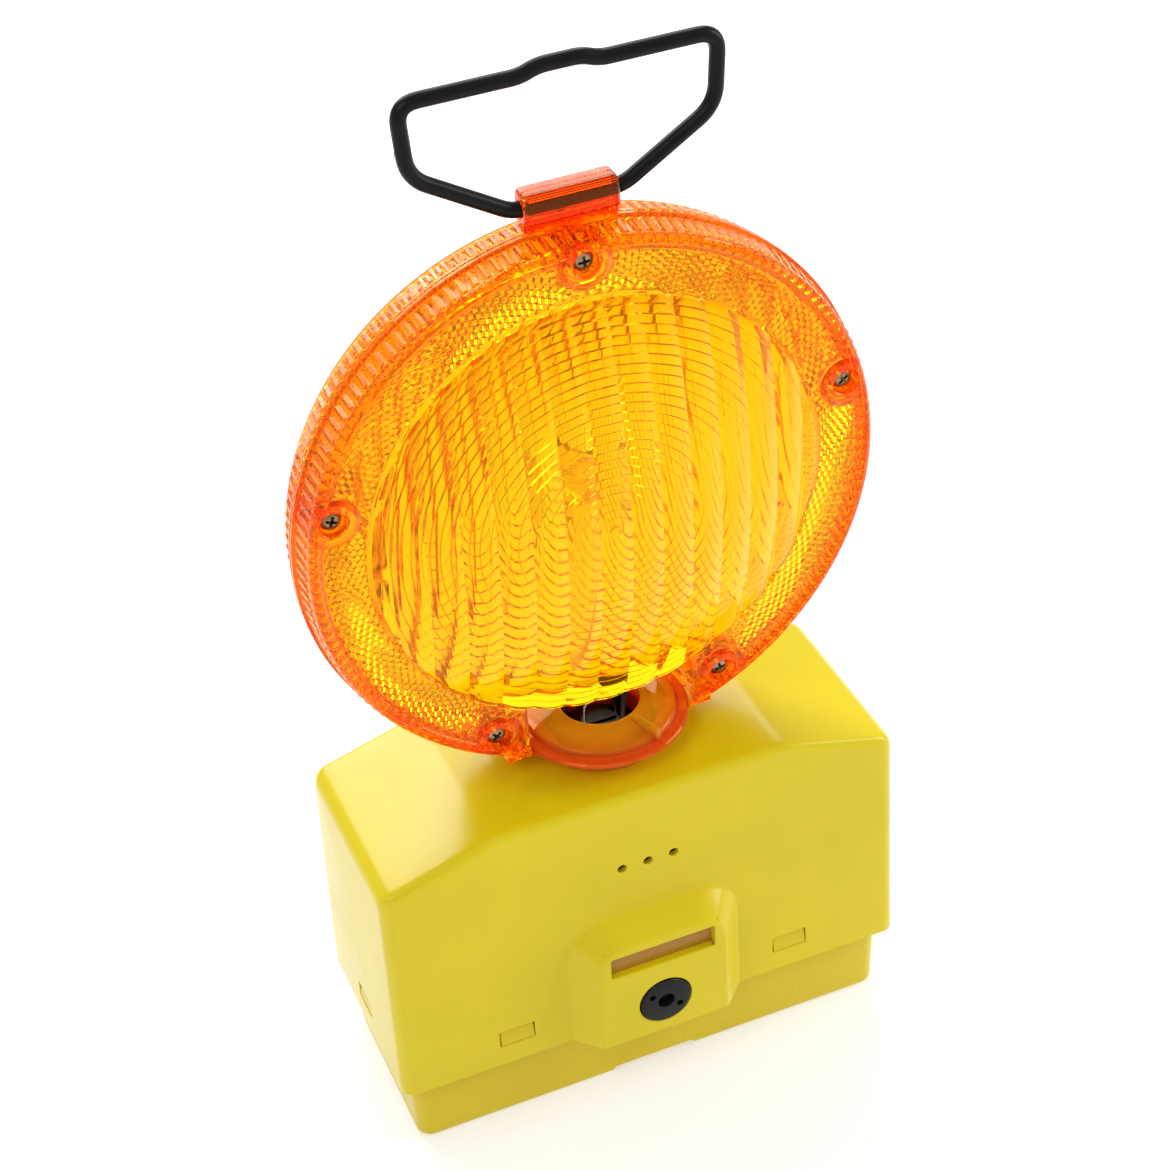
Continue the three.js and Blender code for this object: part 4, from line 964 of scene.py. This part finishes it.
# ------------------------------------------------------------------ collar and what shows in its hole
collar_profile = [
    (23.6, 142.5), (23.6, 145.9), (24.2, 146.5), (30.8, 147.0), (31.5, 147.2), (31.8, 147.6),
    (31.8, 148.3), (31.3, 148.9), (30.6, 149.0), (28.3, 149.0), (27.8, 149.2), (27.4, 150.4), (26.9, 150.9),
    (25.8, 151.2), (15.3, 153.5), (14.8, 153.4), (14.5, 153.0), (14.5, 151.4), (17, 150.4), (17, 129.3),
    (17.3, 129), (19.6, 129), (20, 129.4), (20, 133), (18.8, 133), (18.8, 136.2), (20, 136.2), (20, 142.4),
    (23.5, 142.4)]
collar = turned_z("collar_shell", collar_profile, 192)
rib = soften(box("index_rib", (-1.2, 1.2), (-28.8, -16.6), (148.6, 154.1)), 0.35)
rib.rotation_euler.z = math.radians(24)
bpy.context.view_layer.update()
join(collar, rib)
finish(collar, amber_collar, "head", ["collar"], 28)

socket = [(0, 134.2), (16.3, 134.2), (16.6, 134.5), (16.6, 136.7), (16.3, 137), (8.2, 137), (7.6, 137.6),
          (7.6, 141.6), (7.1, 142.1), (0, 142.1)]
base = turned_z("lamp_base_socket", socket, 80)
for degrees in (35, 145, 215, 325):
    side = [(11.4, 136.5), (14, 136.5), (14, 143.6), (13.2, 145.5), (12.4, 145.2), (12.2, 142.4),
            (11.8, 141)]
    finger = loft("finger", [[(x, y, z) for x, z in side] for y in (-2.6, 2.6)])
    soften(finger, 0.25)
    finger.rotation_euler.z = math.radians(degrees)
    bpy.context.view_layer.update()
    join(base, finger)
cut(base, box("board_slot", (-6.4, 6.4), (-1.1, 1.1), (138, 148)))
finish(base, black, "head", ["lamp_base"], 30)


# ------------------------------------------------------------------ lock, screws and handle
head = [(0, 50.6), (9.2, 50.6), (9.7, 50.45), (10, 50.0), (10, 42.9), (0, 42.9)]
plug = turned_y("lock_plug_turned", head, 96, 0, LOCK_Z)
recess = [(0, 52), (3.9, 52), (3.25, 50.4), (3.2, 47.2), (0, 46.9)]
pins = [turned_y("recess", recess, 48, 0, LOCK_Z)]
for side in (-1, 1):
    x, z = side * 6.4 * math.cos(LOCK_ANGLE), side * 6.4 * math.sin(LOCK_ANGLE)
    pin = [(0, 52), (1.6, 52), (1.25, 50.4), (1.2, 47), (0, 46.8)]
    pins.append(turned_y("pin", pin, 24, x, LOCK_Z + z))
cut(plug, merged("pins", pins))
finish(plug, black, "lock", ["lock_plug"], 35)

for number, angle in enumerate(SCREWS, 1):
    x, z = screw_spot(angle)
    head = [(0, 11.1), (1.2, 11.08), (2.4, 10.85), (3.3, 10.3), (3.75, 9.5), (3.8, 8.9), (3.7, 8.7)]
    shank = [(1.5, 8.7), (1.5, -8.6), (0.6, -9.6), (0, -9.8)]
    screw = turned_y("screw_turned_%d" % number, head + shank, 40, x, z)
    arms = []
    for turn in (0.5, 0.5 + math.pi / 2):
        arm = loft("arm", [[(s * wide, -d, t * long) for s, t in ((-1, -1), (1, -1), (1, 1), (-1, 1))]
                           for d, wide, long in ((9.0, 0.3, 0.9), (12, 0.62, 2.7))])
        arm.matrix_world = Matrix.Translation((x * MM, 0, z * MM)) @ Matrix.Rotation(turn + number, 4, "Y")
        arms.append(arm)
    bpy.context.view_layer.update()
    cut(screw, *arms)
    finish(screw, screw_steel, "head", ["lens_screw_%d" % number], 30)

corners = [(0, 0, 0), (18.5, 0, 4), (50.5, 19.5, 7), (52, 43.8, 7), (13, 43.8, 3), (7, 46, 3), (0, 46, 0)]
corners += [(-x, rise, radius) for x, rise, radius in corners[-2::-1]]
route = [(0.0, 0.0)]
for before, (x, rise, radius), after in zip(corners, corners[1:], corners[2:]):
    spot = np.array((x, rise), float)
    legs = [np.array(corner[:2], float) - spot for corner in (before, after)]
    inward = [spot + radius * leg / np.linalg.norm(leg) for leg in legs]
    route.append(tuple(inward[0]))
    route += bezier(inward[0], spot, inward[1], 8) if radius else []
handle = tube("handle_wire", [(x, 0, CLIP_Z + rise) for x, rise in route] + [(0, 0, CLIP_Z)], 2.6, 24)
nub = turned("nub", [(0, -53.6), (1.1, -53.6), (1.5, -53.2), (1.5, -49), (0, -49)], 20,
             lambda r, t, x: (x, r * math.cos(t), CLIP_Z + 28 + r * math.sin(t)))
join(handle, nub)
finish(handle, coated, "handle", ["handle_bar"], 40)


# ------------------------------------------------------------------ carried-over nodes
def jacket():
    """Battery jacket: blue shrink film with plain pale bands and a steel-grey top."""
    nodes = Nodes("battery_jacket_film").set(Coat_Weight=0.4, Coat_Roughness=0.12)
    split = nodes.add("ShaderNodeSeparateXYZ")
    nodes.link(nodes.place, split.inputs["Vector"])
    film = nodes.ramp(nodes.noise(25, 4.0), (0.018, 0.06, 0.26), (0.026, 0.085, 0.34))
    band = nodes.add("ShaderNodeMath", operation="COMPARE")
    band.inputs[1].default_value = 0.072
    band.inputs[2].default_value = 0.006
    nodes.link(split.outputs["Z"], band.inputs[0])
    lid = nodes.add("ShaderNodeMath", operation="GREATER_THAN")
    lid.inputs[1].default_value = 0.0998
    nodes.link(split.outputs["Z"], lid.inputs[0])
    banded = nodes.mix(band.outputs["Value"], film, (0.62, 0.64, 0.66))
    nodes.colour(nodes.mix(lid.outputs["Value"], banded, (0.11, 0.115, 0.12)))
    nodes.roughness(nodes.range(nodes.noise(50, 4.0), 0.22, 0.4))
    nodes.bump(nodes.noise(90, 3.0, 0.6, nodes.stretched((1, 1, 0.2))), strength=0.25, depth=0.0004)
    return nodes.material


def board():
    """Green solder mask over copper traces."""
    nodes = Nodes("solder_mask_green").set(Coat_Weight=0.5, Coat_Roughness=0.1)
    traces = nodes.add("ShaderNodeTexBrick")
    traces.inputs["Scale"].default_value = 160.0
    traces.inputs["Mortar Size"].default_value = 0.06
    traces.inputs["Color1"].default_value = (0.012, 0.10, 0.035, 1)
    traces.inputs["Color2"].default_value = (0.014, 0.115, 0.04, 1)
    traces.inputs["Mortar"].default_value = (0.035, 0.20, 0.06, 1)
    nodes.link(nodes.stretched((1, 1, 1), (math.pi / 2, 0, 0)), traces.inputs["Vector"])
    nodes.colour(traces.outputs["Color"])
    nodes.roughness(nodes.range(nodes.noise(80, 3.0), 0.3, 0.45))
    nodes.bump(traces.outputs["Fac"], strength=0.2, depth=0.0001)
    return nodes.material


def clear_resin(name, dark, light):
    nodes = Nodes(name).set(Transmission_Weight=1.0, IOR=1.3)
    nodes.colour(nodes.ramp(nodes.noise(140, 3.0), dark, light))
    nodes.roughness(nodes.range(nodes.noise(300, 3.0), 0.08, 0.2))
    nodes.bump(nodes.noise(500, 2.0), strength=0.1, depth=0.00005)
    return nodes.material


carried = {
    "battery_": jacket(), "spring_": steel, "contact_carrier": grey, "contact_strip": brass,
    "carrier_screw": steel, "circuit_board": board(), "board_screw": steel, "photocell": resin,
    "indicator_": clear_resin("indicator_resin", (0.85, 0.62, 0.20), (0.92, 0.72, 0.3)),
    "switch_body": black, "switch_slider": white, "lead_plug": white, "board_lead": rubber,
    "lock_clip": steel, "lock_cam": steel, "lock_shaft": steel, "cam_nut": steel, "turret_ring": white,
    "turret_seal": silicone,
    "lamp_stem": clear_resin("stem_resin", (1.0, 0.93, 0.66), (1.0, 0.97, 0.78)),
    "lamp_diode": clear_resin("diode_resin", (0.95, 0.88, 0.6), (0.98, 0.93, 0.72)), "head_lead": rubber,
}
for name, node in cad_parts.items():
    if node.hide_render:
        continue
    found = [material for start, material in carried.items() if name.startswith(start)]
    node.data.materials.clear()
    node.data.materials.append(found[0])
    smooth = node.modifiers.new("smooth", "WEIGHTED_NORMAL")
    smooth.keep_sharp = True
    node.data.shade_smooth()
    node.data.set_sharp_from_angle(angle=math.radians(35))
